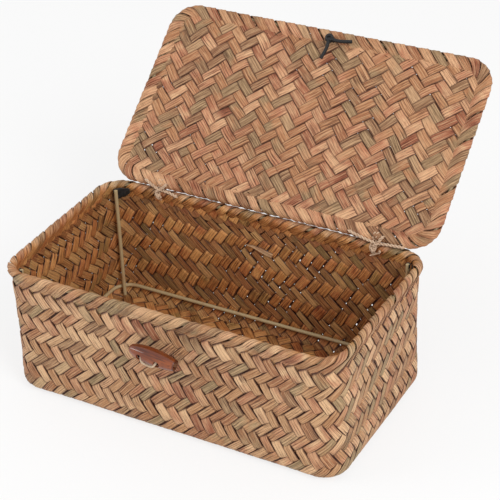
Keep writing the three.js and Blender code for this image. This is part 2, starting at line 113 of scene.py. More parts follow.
def share_property(name, description, share):
    return number_property(name, description, share, subtype="FACTOR")


def angle_property(name, description, degrees):
    return number_property(name, description, math.radians(degrees), unit="ROTATION")


def power_property(name, description, watts):
    return number_property(name, description, watts, unit="POWER")


class WovenBoxWeave(bpy.types.PropertyGroup):
    """Sizes of the plaited strips"""

    wall_pitch: length_property("Wall pitch", "Distance between like strips along the wall", 9.17)
    wall_row: length_property("Wall row", "Height from one crossing of the strips to the next", 5.55)
    wall_shear: share_property("Wall shear", "Part of the sideways run that rising strips take", 0.63)
    wall_waist: length_property("Waist", "How far the walls draw in at half height", 1.2)
    lid_pitch: length_property("Lid pitch", "Distance between like strips along the lid's depth", 10.0)
    lid_column: length_property("Lid column", "Distance from one crossing on the lid to the next", 5.45)
    cover: share_property("Cover", "Width of a strip as a share of the room it has", 1.02)
    lid_cover: share_property("Lid cover", "The same share on the lid and the floor", 1.06)
    thickness: length_property("Strip thickness", "Thickness of a sedge strip at its middle", 1.0)
    swell: length_property("Swell", "How far a strip rises over the one that it crosses", 0.7)
    steepness: number_property("Steepness", "How sharply a strip dives under the next one", 2.6)
    unevenness: length_property("Unevenness", "How far the woven faces wander from flat", 1.4)
    sway: length_property("Sway", "How far the strips wander sideways together", 7.0)
    seed: bpy.props.IntProperty(name="Seed", description="Seed of the hand-made variation", default=7)


class WovenBoxColours(bpy.types.PropertyGroup):
    """Colours of the finishes"""

    olive: colour_property("Olive sedge", "Greenish grey strips", "#97805C")
    tan: colour_property("Tan sedge", "Commonest strips", "#B48258")
    rose: colour_property("Rose sedge", "Pinkish strips", "#C58A66")
    straw: colour_property("Pale sedge", "Palest strips", "#E2B98D")
    russet: colour_property("Russet sedge", "Reddish brown strips", "#955638")
    streak: colour_property("Streak", "Dark fibres along the strips", "#4A2818")
    # Gap is painted shade: the dark edges and dips where strips dive under others
    gap: colour_property("Gap", "Dark edges where strips dive under others", "#3F1A10")
    blush: colour_property("Blush", "Reddish cast of the lid", "#FFF2F0")
    # Painted shade and warm bounce light: the warm and the duller casts of what looks into the basket
    inside: colour_property("Inside", "Warm cast of the faces that look into the basket", "#FFE4B8")
    dull_inside_shade: colour_property("Dull inside", "Cast of the duller strips inside the basket", "#EEE0C0")
    wire: colour_property("Coated wire", "Beige coating of the frame", "#B7A27A")
    tape: colour_property("Tape", "Black tape round the posts", "#141414")
    twine: colour_property("Twine", "Jute twine of the hinges", "#DDC0A4")
    twine_dark: colour_property("Dark twine", "Shaded fibres of the twine", "#A98668")
    elastic: colour_property("Elastic", "Black elastic cord", "#070708")
    elastic_rib: colour_property("Elastic rib", "Raised ribs of the braided cord", "#1E1E1F")
    wood: colour_property("Toggle wood", "Polished reddish wood", "#703010")
    light_wood: colour_property("Light wood", "Pale figure of the toggle", "#944A1C")
    dark_wood: colour_property("Dark wood", "Grain and ends of the toggle", "#40190C")
    # Bore is painted shade: the insides of the holes near black
    bore: colour_property("Bore", "Dark inside of the toggle's holes", "#070708")
    # Both thread colours are the white cotton painted darker, as it looks in shade: painted shade
    thread: colour_property("Thread", "Cotton thread of the toggle", "#D2BCA2")
    thread_dark: colour_property("Dark thread", "Shaded fibres of the thread", "#A78D73")


class WovenBoxStage(bpy.types.PropertyGroup):
    """Camera, floor and light"""

    camera_place: bpy.props.FloatVectorProperty(
        name="Camera place",
        description="Where the camera stands",
        default=(0.526, -0.858, 0.740),
        unit="LENGTH",
    )
    azimuth: angle_property("Azimuth", "Turn of the camera round the box", 30.01)
    elevation: angle_property("Elevation", "How far the camera looks down", 31.96)
    roll: angle_property("Roll", "Lean of the camera", -2.43)
    focal_length: number_property("Focal length", "Lens on a 36 mm sensor, in millimetres", 120.96)
    key_power: power_property("Key light", "Power of the large soft lamp", 28.5)
    side_power: power_property("Side light", "Power of the slim lamp on the left", 5.5)
    fill_level: number_property("Fill level", "Strength of the even light from all round", 0.65)
    floor: colour_property("Floor", "Pale studio floor", "#F7F7F7")


class WovenBoxSettings(bpy.types.PropertyGroup):
    """All that a user would change"""

    weave: bpy.props.PointerProperty(type=WovenBoxWeave)
    colours: bpy.props.PointerProperty(type=WovenBoxColours)
    stage: bpy.props.PointerProperty(type=WovenBoxStage)


def settings():
    return bpy.context.scene.woven_box


# Node trees written as expressions

def find_socket(sockets, key):
    """A socket by its place, its identifier or its name."""
    if isinstance(key, int):
        return sockets[key]
    for socket in sockets:
        if socket.identifier == key:
            return socket
    for socket in sockets:
        if socket.name == key and socket.enabled:
            return socket
    raise KeyError(key)


class Signal:
    """An output socket that Python's arithmetic works on, in a shader or a geometry tree."""

    def __init__(self, graph, socket):
        self.graph = graph
        self.socket = socket

    def __getitem__(self, name):
        return Signal(self.graph, find_socket(self.socket.node.outputs, name))

    def math(self, operation, *others):
        operands = dict(enumerate((self, *others)))
        return self.graph.node("ShaderNodeMath", {"operation": operation}, operands)

    def between(self, low, high):
        """0 up to low, 1 from high on, and smooth between them."""
        kind = {"interpolation_type": "SMOOTHSTEP"}
        return self.graph.node("ShaderNodeMapRange", kind, {"Value": self, "From Min": low, "From Max": high})

    def __add__(self, other):
        return self.math("ADD", other)

    def __sub__(self, other):
        return self.math("SUBTRACT", other)

    def __rsub__(self, other):
        return self.graph.node("ShaderNodeMath", {"operation": "SUBTRACT"}, {0: other, 1: self})

    def __mul__(self, other):
        return self.math("MULTIPLY", other)

    def __truediv__(self, other):
        return self.math("DIVIDE", other)

    __radd__ = __add__
    __rmul__ = __mul__


class Graph:
    """A node tree whose nodes are added by one method."""

    def __init__(self, tree):
        self.tree = tree

    def node(self, kind, options=None, sockets=None, out=0):
        made = self.tree.nodes.new(kind)
        for name, value in (options or {}).items():
            if name == "stops":
                set_stops(made.color_ramp, value)
            else:
                setattr(made, name, value)
        for name, value in (sockets or {}).items():
            socket = find_socket(made.inputs, name)
            if isinstance(value, Signal):
                self.tree.links.new(value.socket, socket)
            else:
                socket.default_value = value
        return Signal(self, find_socket(made.outputs, out)) if len(made.outputs) else made

    def vector(self, x, y, z=0.0):
        return self.node("ShaderNodeCombineXYZ", {}, {0: x, 1: y, 2: z})

    def axes(self, vector):
        parts = self.node("ShaderNodeSeparateXYZ", {}, {0: vector})
        return parts, parts["Y"], parts["Z"]

    def vector_math(self, operation, *operands, out=0):
        return self.node("ShaderNodeVectorMath", {"operation": operation}, dict(enumerate(operands)), out)


def set_stops(ramp, stops):
    while len(ramp.elements) < len(stops):
        ramp.elements.new(1.0)
    for element, (place, colour) in zip(ramp.elements, stops):
        element.position = place
        element.color = colour


# Geometry trees

def geometry_tree(name, inputs):
    """A geometry tree with named inputs; returns its graph and its inputs as signals."""
    tree = bpy.data.node_groups.new(name, "GeometryNodeTree")
    for label, kind in inputs.items():
        tree.interface.new_socket(label, in_out="INPUT", socket_type=f"NodeSocket{kind}")
    tree.interface.new_socket("Geometry", in_out="OUTPUT", socket_type="NodeSocketGeometry")
    graph = Graph(tree)
    entry = graph.node("NodeGroupInput")
    return graph, {label: entry[label] for label in inputs}


def finish_tree(graph, mesh, material):
    """Ends a tree in plain, smooth, painted mesh with crisp strip edges."""
    crisp_angle = math.radians(38)
    smooth = graph.node("GeometryNodeSetShadeSmooth", {"domain": "FACE"}, {0: mesh})
    bend = graph.node("GeometryNodeInputMeshEdgeAngle")
    is_crisp = graph.node("FunctionNodeCompare", {"operation": "GREATER_THAN"}, {0: bend, 1: crisp_angle})
    crisp = graph.node(
        "GeometryNodeSetShadeSmooth",
        {"domain": "EDGE"},
        {0: smooth, "Selection": is_crisp, "Shade Smooth": False},
    )
    whole = graph.node("GeometryNodeRealizeInstances", {}, {0: crisp})
    painted = graph.node("GeometryNodeSetMaterial", {}, {0: whole, "Material": material})
    graph.node("NodeGroupOutput", {}, {0: painted})
    return graph.tree


def keep_attribute(graph, geometry, name, value):
    return graph.node(
        "GeometryNodeStoreNamedAttribute",
        {"data_type": "FLOAT", "domain": "POINT"},
        {"Geometry": geometry, "Name": name, "Value": value},
    )


def read_attribute(graph, name):
    return graph.node("GeometryNodeInputNamedAttribute", {"data_type": "FLOAT"}, {"Name": name})


def strip_section(graph, width, thickness):
    """Flat, slightly crowned section that keeps the place across a strip and which way it faces."""
    edge_fullness, face_fullness = 0.49, 0.26
    ring = graph.node(
        "GeometryNodeCurvePrimitiveCircle", {"mode": "RADIUS"}, {"Resolution": 8, "Radius": 1.0}
    )
    x, y, _ = graph.axes(graph.node("GeometryNodeInputPosition"))
    across = x * (1 + edge_fullness - edge_fullness * x * x)
    rise = y * (1 + face_fullness - face_fullness * y * y)
    ring = keep_attribute(graph, ring, "across", across)
    ring = keep_attribute(graph, ring, "face", y * -1.0)
    place = graph.vector(across * width * 0.5, rise * thickness * 0.5)
    return graph.node("GeometryNodeSetPosition", {}, {0: ring, "Position": place})


def wrap_round(graph, mesh, outline, profile, unevenness, sway):
    """Carries a flat plait of run, rise and depth onto the face that a profile sweeps round an outline."""
    run, rise, depth = graph.axes(graph.node("GeometryNodeInputPosition"))
    rail, rib = [
        graph.node("GeometryNodeMeshToCurve", {}, {
            "Mesh": graph.node("GeometryNodeObjectInfo", {}, {"Object": path}, "Geometry"),
        })
        for path in (outline, profile)
    ]
    rail_length = graph.node("GeometryNodeCurveLength", {}, {0: rail})

    def sample(curve, distance):
        by_length = {"mode": "LENGTH", "use_all_curves": True}
        spot = {"Curves": curve, "Length": distance}
        return graph.node("GeometryNodeSampleCurve", by_length, spot, "Position")

    def on_face(run, rise, proud):
        on_rib = sample(rib, rise)
        out, _, height = graph.axes(on_rib)
        climb_out, _, climb_up = graph.axes(on_rib["Tangent"])
        on_rail = sample(rail, run.math("FLOORED_MODULO", rail_length))
        rail_x, rail_y, _ = graph.axes(on_rail)
        ahead_x, ahead_y, _ = graph.axes(on_rail["Tangent"])
        radial = out + climb_up * proud
        return graph.vector(rail_x + ahead_y * radial, rail_y - ahead_x * radial, height - climb_out * proud)

    stray, bulge, droop = graph.axes(wander_noise(graph, on_face(run, rise, 0.0)))
    place = on_face(
        run + (stray - 0.5) * sway,
        rise + (droop - 0.5) * sway,
        depth + (bulge - 0.5) * unevenness,
    )
    return graph.node("GeometryNodeSetPosition", {}, {0: mesh, "Position": place})


def wander_noise(graph, spot):
    """Three slow random values that neighbouring strips share."""
    waves_per_metre = 24.0
    field = {"Vector": spot, "Scale": waves_per_metre, "Detail": 1.0}
    return graph.node("ShaderNodeTexNoise", {}, field, "Color")


def even_curves(graph, given):
    """The guide edges of a tree as curves of even steps."""
    curves = graph.node("GeometryNodeMeshToCurve", {}, {"Mesh": given["Guides"]})
    spacing = {"Curve": curves, "Length": given["Step"]}
    return graph.node("GeometryNodeResampleCurve", {"mode": "LENGTH"}, spacing)


def plait_tree(name, wrapped):
    """Strips along guide edges: each rises and dips by rows, and a wrapped plait follows a swept face."""
    graph, given = geometry_tree(name, {
        "Guides": "Geometry",
        "Width": "Float",
        "Thickness": "Float",
        "Swell": "Float",
        "Steepness": "Float",
        "Rows": "Vector",
        "Row Start": "Float",
        "Border Rows": "Vector",
        "Border": "Float",
        "Tilt": "Float",
        "Tuck": "Float",
        "Step": "Float",
        "Unevenness": "Float",
        "Sway": "Float",
        "Outline": "Object",
        "Profile": "Object",
        "Material": "Material",
    })
    end_sharpness = 5.0
    curves = even_curves(graph, given)
    place = graph.node("GeometryNodeInputPosition")
    inner_row = graph.vector_math("DOT_PRODUCT", place, given["Rows"], out="Value")
    border_row = graph.vector_math("DOT_PRODUCT", place, given["Border Rows"], out="Value")
    in_border = graph.axes(place)[1].math("GREATER_THAN", given["Border"])
    row = inner_row + (border_row - inner_row) * in_border + given["Row Start"]
    wave = (row * (FULL_TURN / 4) + FULL_TURN / 8).math("SINE") * given["Steepness"]
    wave = wave.math("MINIMUM", 1.0).math("MAXIMUM", -1.0)
    spline = graph.node("GeometryNodeSplineParameter")
    end_closeness = ((spline - 0.5).math("ABSOLUTE") * 2.0).math("POWER", end_sharpness)
    over = wave * read_attribute(graph, "lean")
    swell = given["Swell"]
    if wrapped:
        foot_start, foot_end, foot_share = 9 * MM, 26 * MM, 0.35
        above_foot = graph.axes(place)[1].between(foot_start, foot_end)
        swell = swell * (foot_share + (1 - foot_share) * above_foot)
    lift = over * swell - end_closeness * given["Tuck"]
    curves = keep_attribute(graph, curves, "along", spline["Length"])
    curves = keep_attribute(graph, curves, "over", over)
    curves = graph.node("GeometryNodeSetPosition", {}, {0: curves, "Offset": graph.vector(0.0, 0.0, lift)})
    curves = graph.node("GeometryNodeSetCurveNormal", {"mode": "Z_UP"}, {0: curves})
    curves = graph.node("GeometryNodeSetCurveTilt", {}, {0: curves, "Tilt": given["Tilt"]})
    mesh = graph.node("GeometryNodeCurveToMesh", {}, {
        "Curve": curves,
        "Profile Curve": strip_section(graph, given["Width"], given["Thickness"]),
        "Scale": read_attribute(graph, "girth"),
        "Fill Caps": True,
    })
    if wrapped:
        mesh = wrap_round(graph, mesh, given["Outline"], given["Profile"], given["Unevenness"], given["Sway"])
    else:
        stray_x, stray_y, bulge = graph.axes(wander_noise(graph, graph.node("GeometryNodeInputPosition")))
        sway = given["Sway"]
        offset = graph.vector(
            (stray_x - 0.5) * sway, (stray_y - 0.5) * sway, (bulge - 0.5) * given["Unevenness"]
        )
        mesh = graph.node("GeometryNodeSetPosition", {}, {0: mesh, "Offset": offset})
    return finish_tree(graph, mesh, given["Material"])


def cord_tree(name):
    """Round strands laid helically about guide edges; one strand with no lay is a plain wire."""
    graph, given = geometry_tree(name, {
        "Guides": "Geometry",
        "Strands": "Int",
        "Lay Radius": "Float",
        "Strand Radius": "Float",
        "Lay Length": "Float",
        "Sides": "Int",
        "Step": "Float",
        "Material": "Material",
    })
    strands = graph.node("GeometryNodeDuplicateElements", {"domain": "SPLINE"}, {
        "Geometry": even_curves(graph, given),
        "Amount": given["Strands"],
    })
    length = graph.node("GeometryNodeSplineParameter")["Length"]
    turn = (length / given["Lay Length"] + strands["Duplicate Index"] / given["Strands"]) * FULL_TURN
    normal = graph.node("GeometryNodeInputNormal")
    tangent = graph.node("GeometryNodeInputTangent")
    side = graph.vector_math("CROSS_PRODUCT", tangent, normal)
    arms = [
        graph.node("ShaderNodeVectorMath", {"operation": "SCALE"}, {
            0: way,
            "Scale": share * given["Lay Radius"],
        })
        for way, share in ((normal, turn.math("COSINE")), (side, turn.math("SINE")))
    ]
    offset = graph.vector_math("ADD", *arms)
    laid = keep_attribute(graph, strands, "along", length)
    laid = graph.node("GeometryNodeSetPosition", {}, {0: laid, "Offset": offset})
    ring = graph.node(
        "GeometryNodeCurvePrimitiveCircle",
        {"mode": "RADIUS"},
        {"Resolution": given["Sides"], "Radius": given["Strand Radius"]},
    )
    ring = keep_attribute(graph, ring, "around", graph.node("GeometryNodeSplineParameter"))
    tube = {"Curve": laid, "Profile Curve": ring, "Fill Caps": True}
    mesh = graph.node("GeometryNodeCurveToMesh", {}, tube)
    return finish_tree(graph, mesh, given["Material"])


def shared_tree(name, make, *details):
    """A tree that is built once and used by every piece that needs it."""
    return bpy.data.node_groups.get(name) or make(name, *details)


# Guides for the trees

def guide_mesh(name, strips):
    """Edges for a tree to follow. A strip has its points, and may be closed and carry facts of its own."""
    points = []
    edges = []
    facts = {"lean": [], "tone": [], "girth": []}
    for strip in strips:
        first = len(points)
        count = len(strip["points"])
        points += [Vector(point).to_3d() for point in strip["points"]]
        edges += [(first + step, first + step + 1) for step in range(count - 1)]
        if strip.get("closed"):
            edges.append((first + count - 1, first))
        for fact, values in facts.items():
            value = strip.get(fact, 1.0)
            values += value if isinstance(value, list) else [value] * count
    mesh = bpy.data.meshes.new(name)
    mesh.from_pydata(points, edges, [])
    for fact, values in facts.items():
        mesh.attributes.new(fact, "FLOAT", "POINT").data.foreach_set("value", values)
    return mesh


def guide_object(name, points, closed=False):
    """A path that a tree reads as an object of its own."""
    path = bpy.data.objects.new(name, guide_mesh(name, [{"points": points, "closed": closed}]))
    bpy.context.scene.collection.objects.link(path)
    return path


def grow(name, strips, tree, values, place=None):
    """Runs a tree on guide strips and keeps what it makes as a plain mesh object."""
    piece = bpy.data.objects.new(name, guide_mesh(name, strips))
    bpy.context.scene.collection.objects.link(piece)
    modifier = piece.modifiers.new(name, "NODES")
    modifier.node_group = tree
    for item in tree.interface.items_tree:
        if item.name in values:
            modifier[item.identifier] = values[item.name]
    settle(piece)
    if place:
        piece.data.transform(place)
    return piece


def lay_cord(name, strips, values, place=None):
    """Cord along guide strips, as one piece."""
    return grow(name, strips, shared_tree("Laid cord", cord_tree), values, place)


def wrap_plait(name, strips, outline, profile, values, place=None):
    """Strips on the face that a profile sweeps round an outline, as one piece."""
    around = guide_object(f"{name}_outline", outline, closed=True)
    upright = profile_object(f"{name}_profile", profile)
    tree = shared_tree("Wrapped plait", plait_tree, True)
    piece = grow(name, strips, tree, {**values, "Outline": around, "Profile": upright}, place)
    drop(around, upright)
    return piece


def settle(piece):
    """Turns what a piece's modifiers make of it into its plain mesh."""
    depsgraph = bpy.context.evaluated_depsgraph_get()
    mesh = bpy.data.meshes.new_from_object(piece.evaluated_get(depsgraph))
    mesh.name = piece.name
    piece.modifiers.clear()
    piece.data = mesh


def mesh_object(name, points, faces, material):
    mesh = bpy.data.meshes.new(name)
    mesh.from_pydata(points, [], faces)
    mesh.materials.append(material)
    made = bpy.data.objects.new(name, mesh)
    bpy.context.scene.collection.objects.link(made)
    return made


def drop(*objects):
    for spent in objects:
        bpy.data.objects.remove(spent)


def dress(piece, body, slot, *nodes):
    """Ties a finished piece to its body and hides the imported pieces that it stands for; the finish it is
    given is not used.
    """
    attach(piece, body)
    if nodes:
        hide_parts(*nodes)
    return piece


def rounded_outline(length, width, radius, spacing=4 * MM):
    """Evenly spaced points of a rounded rectangle, anticlockwise from the left end of its front side."""
    points = []
    for quarter in range(4):
        angle = quarter * FULL_TURN / 4
        side = (length if quarter % 2 == 0 else width) / 2 - radius
        reach = (width if quarter % 2 == 0 else length) / 2
        turn = Matrix.Rotation(angle, 2)
        straight_steps = max(1, round(2 * side / spacing))
        for step in range(straight_steps):
            along = -side + 2 * side * step / straight_steps
            points.append(turn @ Vector((along, -reach)))
        bend_steps = max(4, round(radius * FULL_TURN / 4 / spacing) * 2)
        for step in range(bend_steps):
            bend = step / bend_steps * FULL_TURN / 4
            corner = Vector((side + radius * math.sin(bend), -reach + radius - radius * math.cos(bend)))
            points.append(turn @ corner)
    return points


def path_length(points):
    return sum((after - before).length for before, after in zip(points, points[1:]))


def outline_length(points):
    return path_length([*points, points[0]])


def arc_points(centre, radius, start, end, steps):
    """Points of an arc from one angle to another, in degrees."""
    angles = [math.radians(start + (end - start) * step / steps) for step in range(steps + 1)]
    return [Vector((centre[0] + radius * math.cos(a), centre[1] + radius * math.sin(a))) for a in angles]


def profile_object(name, points):
    """A profile of outward and upward steps, as a path in the XZ plane."""
    return guide_object(name, [(out, 0.0, up) for out, up in points])


def clip_line(point, direction, polygon):
    """Start and end of the stretch of a line inside a convex polygon, or nothing."""
    shortest = 3 * MM
    low, high = -math.inf, math.inf
    for before, after in zip(polygon, polygon[1:] + polygon[:1]):
        inward = Vector((before.y - after.y, after.x - before.x))
        speed = direction.dot(inward)
        gap = (before - point).dot(inward)
        if speed > 0:
            low = max(low, gap / speed)
        elif speed < 0:
            high = min(high, gap / speed)
        elif gap > 0:
            return None
    if high - low < shortest:
        return None
    return point + direction * low, point + direction * high


def smooth_path(points, steps=8):
    """A smooth curve through points, sampled a few times between each two."""
    points = [Vector(point) for point in points]
    padded = [points[0], *points, points[-1]]
    sampled = []
    for before, start, end, after in zip(padded, padded[1:], padded[2:], padded[3:]):
        bend = 2 * before - 5 * start + 4 * end - after
        swing = 3 * start - before - 3 * end + after
        for step in range(steps):
            t = step / steps
            sampled.append(start + 0.5 * t * ((end - before) + t * (bend + t * swing)))
    return [*sampled, points[-1]]


# Materials

def new_material(name):
    """An empty material and the graph of its nodes."""
    material = bpy.data.materials.new(name)
    material.use_nodes = True
    material.node_tree.nodes.clear()
    return material, Graph(material.node_tree)


def finish_material(graph, colour, roughness, normal, fixed=None):
    """Ends a material in one surface shader; what is fixed is set on the shader's own sockets."""
    sockets = {"Base Color": colour, "Roughness": roughness, "Normal": normal, **(fixed or {})}
    shader = graph.node("ShaderNodeBsdfPrincipled", {}, sockets)
    graph.node("ShaderNodeOutputMaterial", {}, {"Surface": shader})


def mix_colour(graph, share, first, second, blend="MIX"):
    return graph.node(
        "ShaderNodeMix",
        {"data_type": "RGBA", "blend_type": blend},
        {"Factor_Float": share, "A_Color": first, "B_Color": second},
        "Result_Color",
    )


def attribute(graph, name):
    return graph.node("ShaderNodeAttribute", {"attribute_name": name}, {}, "Fac")


def noise(graph, vector, scale=1.0, detail=2.0, roughness=0.5):
    return graph.node(
        "ShaderNodeTexNoise",
        {},
        {"Vector": vector, "Scale": scale, "Detail": detail, "Roughness": roughness},
    )


def bump(graph, height, strength, depth):
    """A shading normal that follows a height; its depth is in millimetres."""
    relief = {"Height": height, "Strength": strength, "Distance": depth * MM}
    return graph.node("ShaderNodeBump", {}, relief)


def object_spot(graph):
    return graph.node("ShaderNodeTexCoord", {}, {}, "Object")


def sedge_material(
    name, blush=0.0, shaded_inside_face=0, inside_shade_from=None, shaded_from=None, has_dull_inside_shade=False, crevice_shade_depth=0.95
):
    """Dried sedge: each strip has its own tone, which drifts along it, with fibres, splits and dark edges.

    Blush is the share of the lid's reddish cast. What looks into the basket is painted warmer and darker, as
    painted shade and warm bounce light, or duller: the strips' upper face (1) or under face (-1), and what
    lies further along a strip than the length where this painted inside shade starts. What lies further along
    than shaded_from is in the rim's painted shadow. Both are in millimetres. The edge depth is how dark the
    painted shade is at the edges and in the dips.

    Each noise has its waves along a strip, by the millimetre, its waves across it and the strip's own offset.
    """
    if name in bpy.data.materials:
        return bpy.data.materials[name]
    # Lengths along a strip over which the painted inside shade and the painted rim shadow come in, in
    # millimetres
    inside_shade_fade, shade_fade = 8, 6
    colours = settings().colours
    material, graph = new_material(name)
    along = attribute(graph, "along") / MM
    across = attribute(graph, "across")
    tone = attribute(graph, "tone")
    face = attribute(graph, "face")
    drift = noise(graph, graph.vector(along * 0.03, tone * 61.0), detail=1.0)
    blotch = noise(graph, graph.vector(along * 0.07, across * 0.6, tone * 47.0), detail=2.0)
    shade = tone * 0.8 + (drift - 0.5) * 0.95 + (blotch - 0.5) * 0.4 + 0.1
    base = graph.node("ShaderNodeValToRGB", {"stops": (
        (0.05, colours.olive),
        (0.2, colours.olive),
        (0.32, colours.tan),
        (0.5, colours.tan),
        (0.65, colours.rose),
        (0.8, colours.straw),
        (0.88, colours.rose),
        (0.97, colours.russet),
    )}, {0: shade})
    lot = (tone * 7.3).math("FRACT")
    base = mix_colour(graph, lot.between(0.55, 1.0) * 0.6, base, colours.straw)
    base = mix_colour(graph, (1.0 - lot).between(0.55, 1.0) * 0.5, base, colours.russet)
    base = mix_colour(graph, blush, base, colours.blush, "MULTIPLY")
    fibre = noise(graph, graph.vector(along * 0.06, across * 4.5, tone * 91.0), detail=4.0, roughness=0.62)
    fine = noise(graph, graph.vector(along * 0.2, across * 16.0, tone * 17.0), detail=2.0)
    worn = noise(graph, graph.vector(along * 0.03, tone * 29.0, 3.0), detail=1.0).between(0.4, 0.62)
    bend = noise(graph, graph.vector(along * 0.03, tone * 37.0, 5.0), detail=1.0)
    strand = (across * 1.8 + bend * 1.6 + tone * 9.0).math("FRACT")
    split = 1.0 - (strand - 0.5).math("ABSOLUTE").between(0.02, 0.13)
    base = mix_colour(graph, (1.0 - fibre.between(0.34, 0.56)) * 0.5, base, colours.straw)
    base = mix_colour(graph, fibre.between(0.5, 0.68) * (0.42 + worn * 0.5), base, colours.streak)
    base = mix_colour(graph, split * (0.15 + worn * 0.5), base, colours.streak)
    base = mix_colour(graph, fine.between(0.5, 0.72) * 0.5, base, colours.streak)
    # Painted shade and warm bounce light on what looks into the basket
    if shaded_inside_face:
        inside = (face * shaded_inside_face).between(0.0, 0.4)
        if inside_shade_from:
            inside = inside.math("MAXIMUM", along.between(inside_shade_from, inside_shade_from + inside_shade_fade))
        cast = colours.dull_inside_shade if has_dull_inside_shade else colours.inside
        base = mix_colour(graph, inside, base, cast, "MULTIPLY")
    # Painted shade at the strips' edges and in the dips where a strip goes under another
    edge = across.math("ABSOLUTE").between(0.76, 0.98)
    dip_shade = 1.0 - (attribute(graph, "over") * face.math("SIGN")).between(-0.4, 0.6)
    base = mix_colour(graph, edge.math("MAXIMUM", dip_shade) * crevice_shade_depth, base, colours.gap)
    if shaded_from:
        shaded = along.between(shaded_from, shaded_from + shade_fade)
        base = mix_colour(graph, shaded * 0.75, base, colours.gap)
    height = fibre * 0.5 + fine * 0.3 - split * 0.6
    relief = bump(graph, height, 0.8, 0.4)
    finish_material(graph, base, 0.45 + fibre * 0.3, relief, {"Specular IOR Level": 0.35})
    return material


def wire_material():
    """Beige coated wire with faint wear."""
    material, graph = new_material("coated_wire_finish")
    colours = settings().colours
    wear = noise(graph, object_spot(graph), scale=160.0, detail=4.0)
    base = mix_colour(graph, wear.between(0.45, 0.75) * 0.45, colours.wire, colours.tan)
    finish_material(graph, base, 0.42 + wear * 0.2, bump(graph, wear, 0.2, 0.2))
    return material


def twine_material(name, light, dark):
    """Spun fibre: fine slanted hairs, paler and darker by turns."""
    material, graph = new_material(name)
    along = attribute(graph, "along") / MM
    turn = attribute(graph, "around")
    hairs = noise(graph, graph.vector(along * 1.1 + turn * 5.0, turn * 22.0), detail=3.0, roughness=0.6)
    stain = noise(graph, graph.vector(along * 0.12, turn * 2.0, 4.0), detail=1.0)
    base = mix_colour(graph, hairs.between(0.42, 0.68) * 0.75, light, dark)
    base = mix_colour(graph, stain.between(0.5, 0.75) * 0.4, base, dark)
    finish_material(graph, base, 0.85 + hairs * 0.1, bump(graph, hairs, 0.7, 0.25))
    return material


def tape_material():
    """Black cloth tape, creased and dusty."""
    material, graph = new_material("black_tape_finish")
    colours = settings().colours
    spot = object_spot(graph)
    crease = noise(graph, spot, scale=420.0, detail=4.0)
    dust = noise(graph, spot, scale=1500.0, detail=2.0)
    base = mix_colour(graph, dust.between(0.5, 0.8) * 0.3, colours.tape, colours.streak)
    finish_material(graph, base, 0.5 + crease * 0.3, bump(graph, crease + dust * 0.3, 0.6, 0.4))
    return material


def wood_material(middle, tilt, half_length):
    """Polished reddish wood: grain along the toggle, darker on its ends, and painted shade on its upper side
    and in its holes.
    """
    material, graph = new_material("toggle_wood_finish")
    colours = settings().colours
    local = graph.node("ShaderNodeMapping", {"vector_type": "TEXTURE"}, {
        "Vector": object_spot(graph),
        "Location": middle,
        "Rotation": (0, tilt, 0),
    })
    along, deep, high = graph.axes(local)

    def grown(lengthwise, crosswise, **kind):
        """Noise that is drawn out along the grain, by its waves per metre each way."""
        spot = graph.vector(along * lengthwise, deep * crosswise, high * crosswise)
        return noise(graph, spot, **kind)

    grain = grown(45.0, 420.0, detail=4.0, roughness=0.6)
    figure = grown(28.0, 150.0)
    pores = grown(220.0, 1900.0)
    base = mix_colour(graph, figure.between(0.36, 0.66), colours.wood, colours.light_wood)
    base = mix_colour(graph, grain.between(0.46, 0.7) * 0.75, base, colours.dark_wood)
    base = mix_colour(graph, pores.between(0.55, 0.7) * 0.5, base, colours.dark_wood)
    ends = (along.math("ABSOLUTE") / half_length).between(0.93, 0.99)
    # Painted shade: the upper side darker; the ends are darker too
    shade = (high / MM).between(1.5, 5.5) * 0.35
    base = mix_colour(graph, ends.math("MAXIMUM", shade) * 0.8, base, colours.dark_wood)
    # Painted shade in the holes
    base = mix_colour(graph, attribute(graph, "bore"), base, colours.bore)
    polish = {"Specular IOR Level": 0.1, "Coat Weight": 1.0, "Coat Roughness": 0.1}
    finish_material(graph, base, 0.3 + grain * 0.15, bump(graph, grain - pores * 0.4, 0.12, 0.2), polish)
    return material


def elastic_material():
    """Braided black cord: fine diagonal ribs."""
    rib_pitch = 1.8 * MM
    ribs_round = 4.0
    material, graph = new_material("black_elastic_finish")
    colours = settings().colours
    turn = attribute(graph, "around") * FULL_TURN
    along = attribute(graph, "along") * (FULL_TURN / rib_pitch)
    left = (turn * ribs_round + along).math("SINE")
    right = (turn * ribs_round - along).math("SINE")
    braid = left.math("MAXIMUM", right)
    base = mix_colour(graph, braid.between(-0.2, 1.0) * 0.35, colours.elastic, colours.elastic_rib)
    finish_material(graph, base, 0.75 - braid * 0.1, bump(graph, braid, 0.5, 0.2))
    return material


# Operators

def aim_camera(stage):
    """Places the camera by its position, turn, tilt and roll."""
    azimuth, elevation, roll = stage.azimuth, stage.elevation, stage.roll
    back = Vector((
        math.sin(azimuth) * math.cos(elevation),
        -math.cos(azimuth) * math.cos(elevation),
        math.sin(elevation),
    ))
    right = Vector((0, 0, 1)).cross(back).normalized()
    up = back.cross(right)
    turned_right = math.cos(roll) * right + math.sin(roll) * up
    turned_up = math.cos(roll) * up - math.sin(roll) * right
    turn = Matrix((turned_right, turned_up, back)).transposed()
    lens = bpy.data.cameras.new("camera")
    lens.lens = stage.focal_length
    lens.sensor_width = 36.0
    camera = bpy.data.objects.new("camera", lens)
    camera.matrix_world = Matrix.Translation(Vector(stage.camera_place)) @ turn.to_4x4()
    bpy.context.scene.collection.objects.link(camera)
    bpy.context.scene.camera = camera


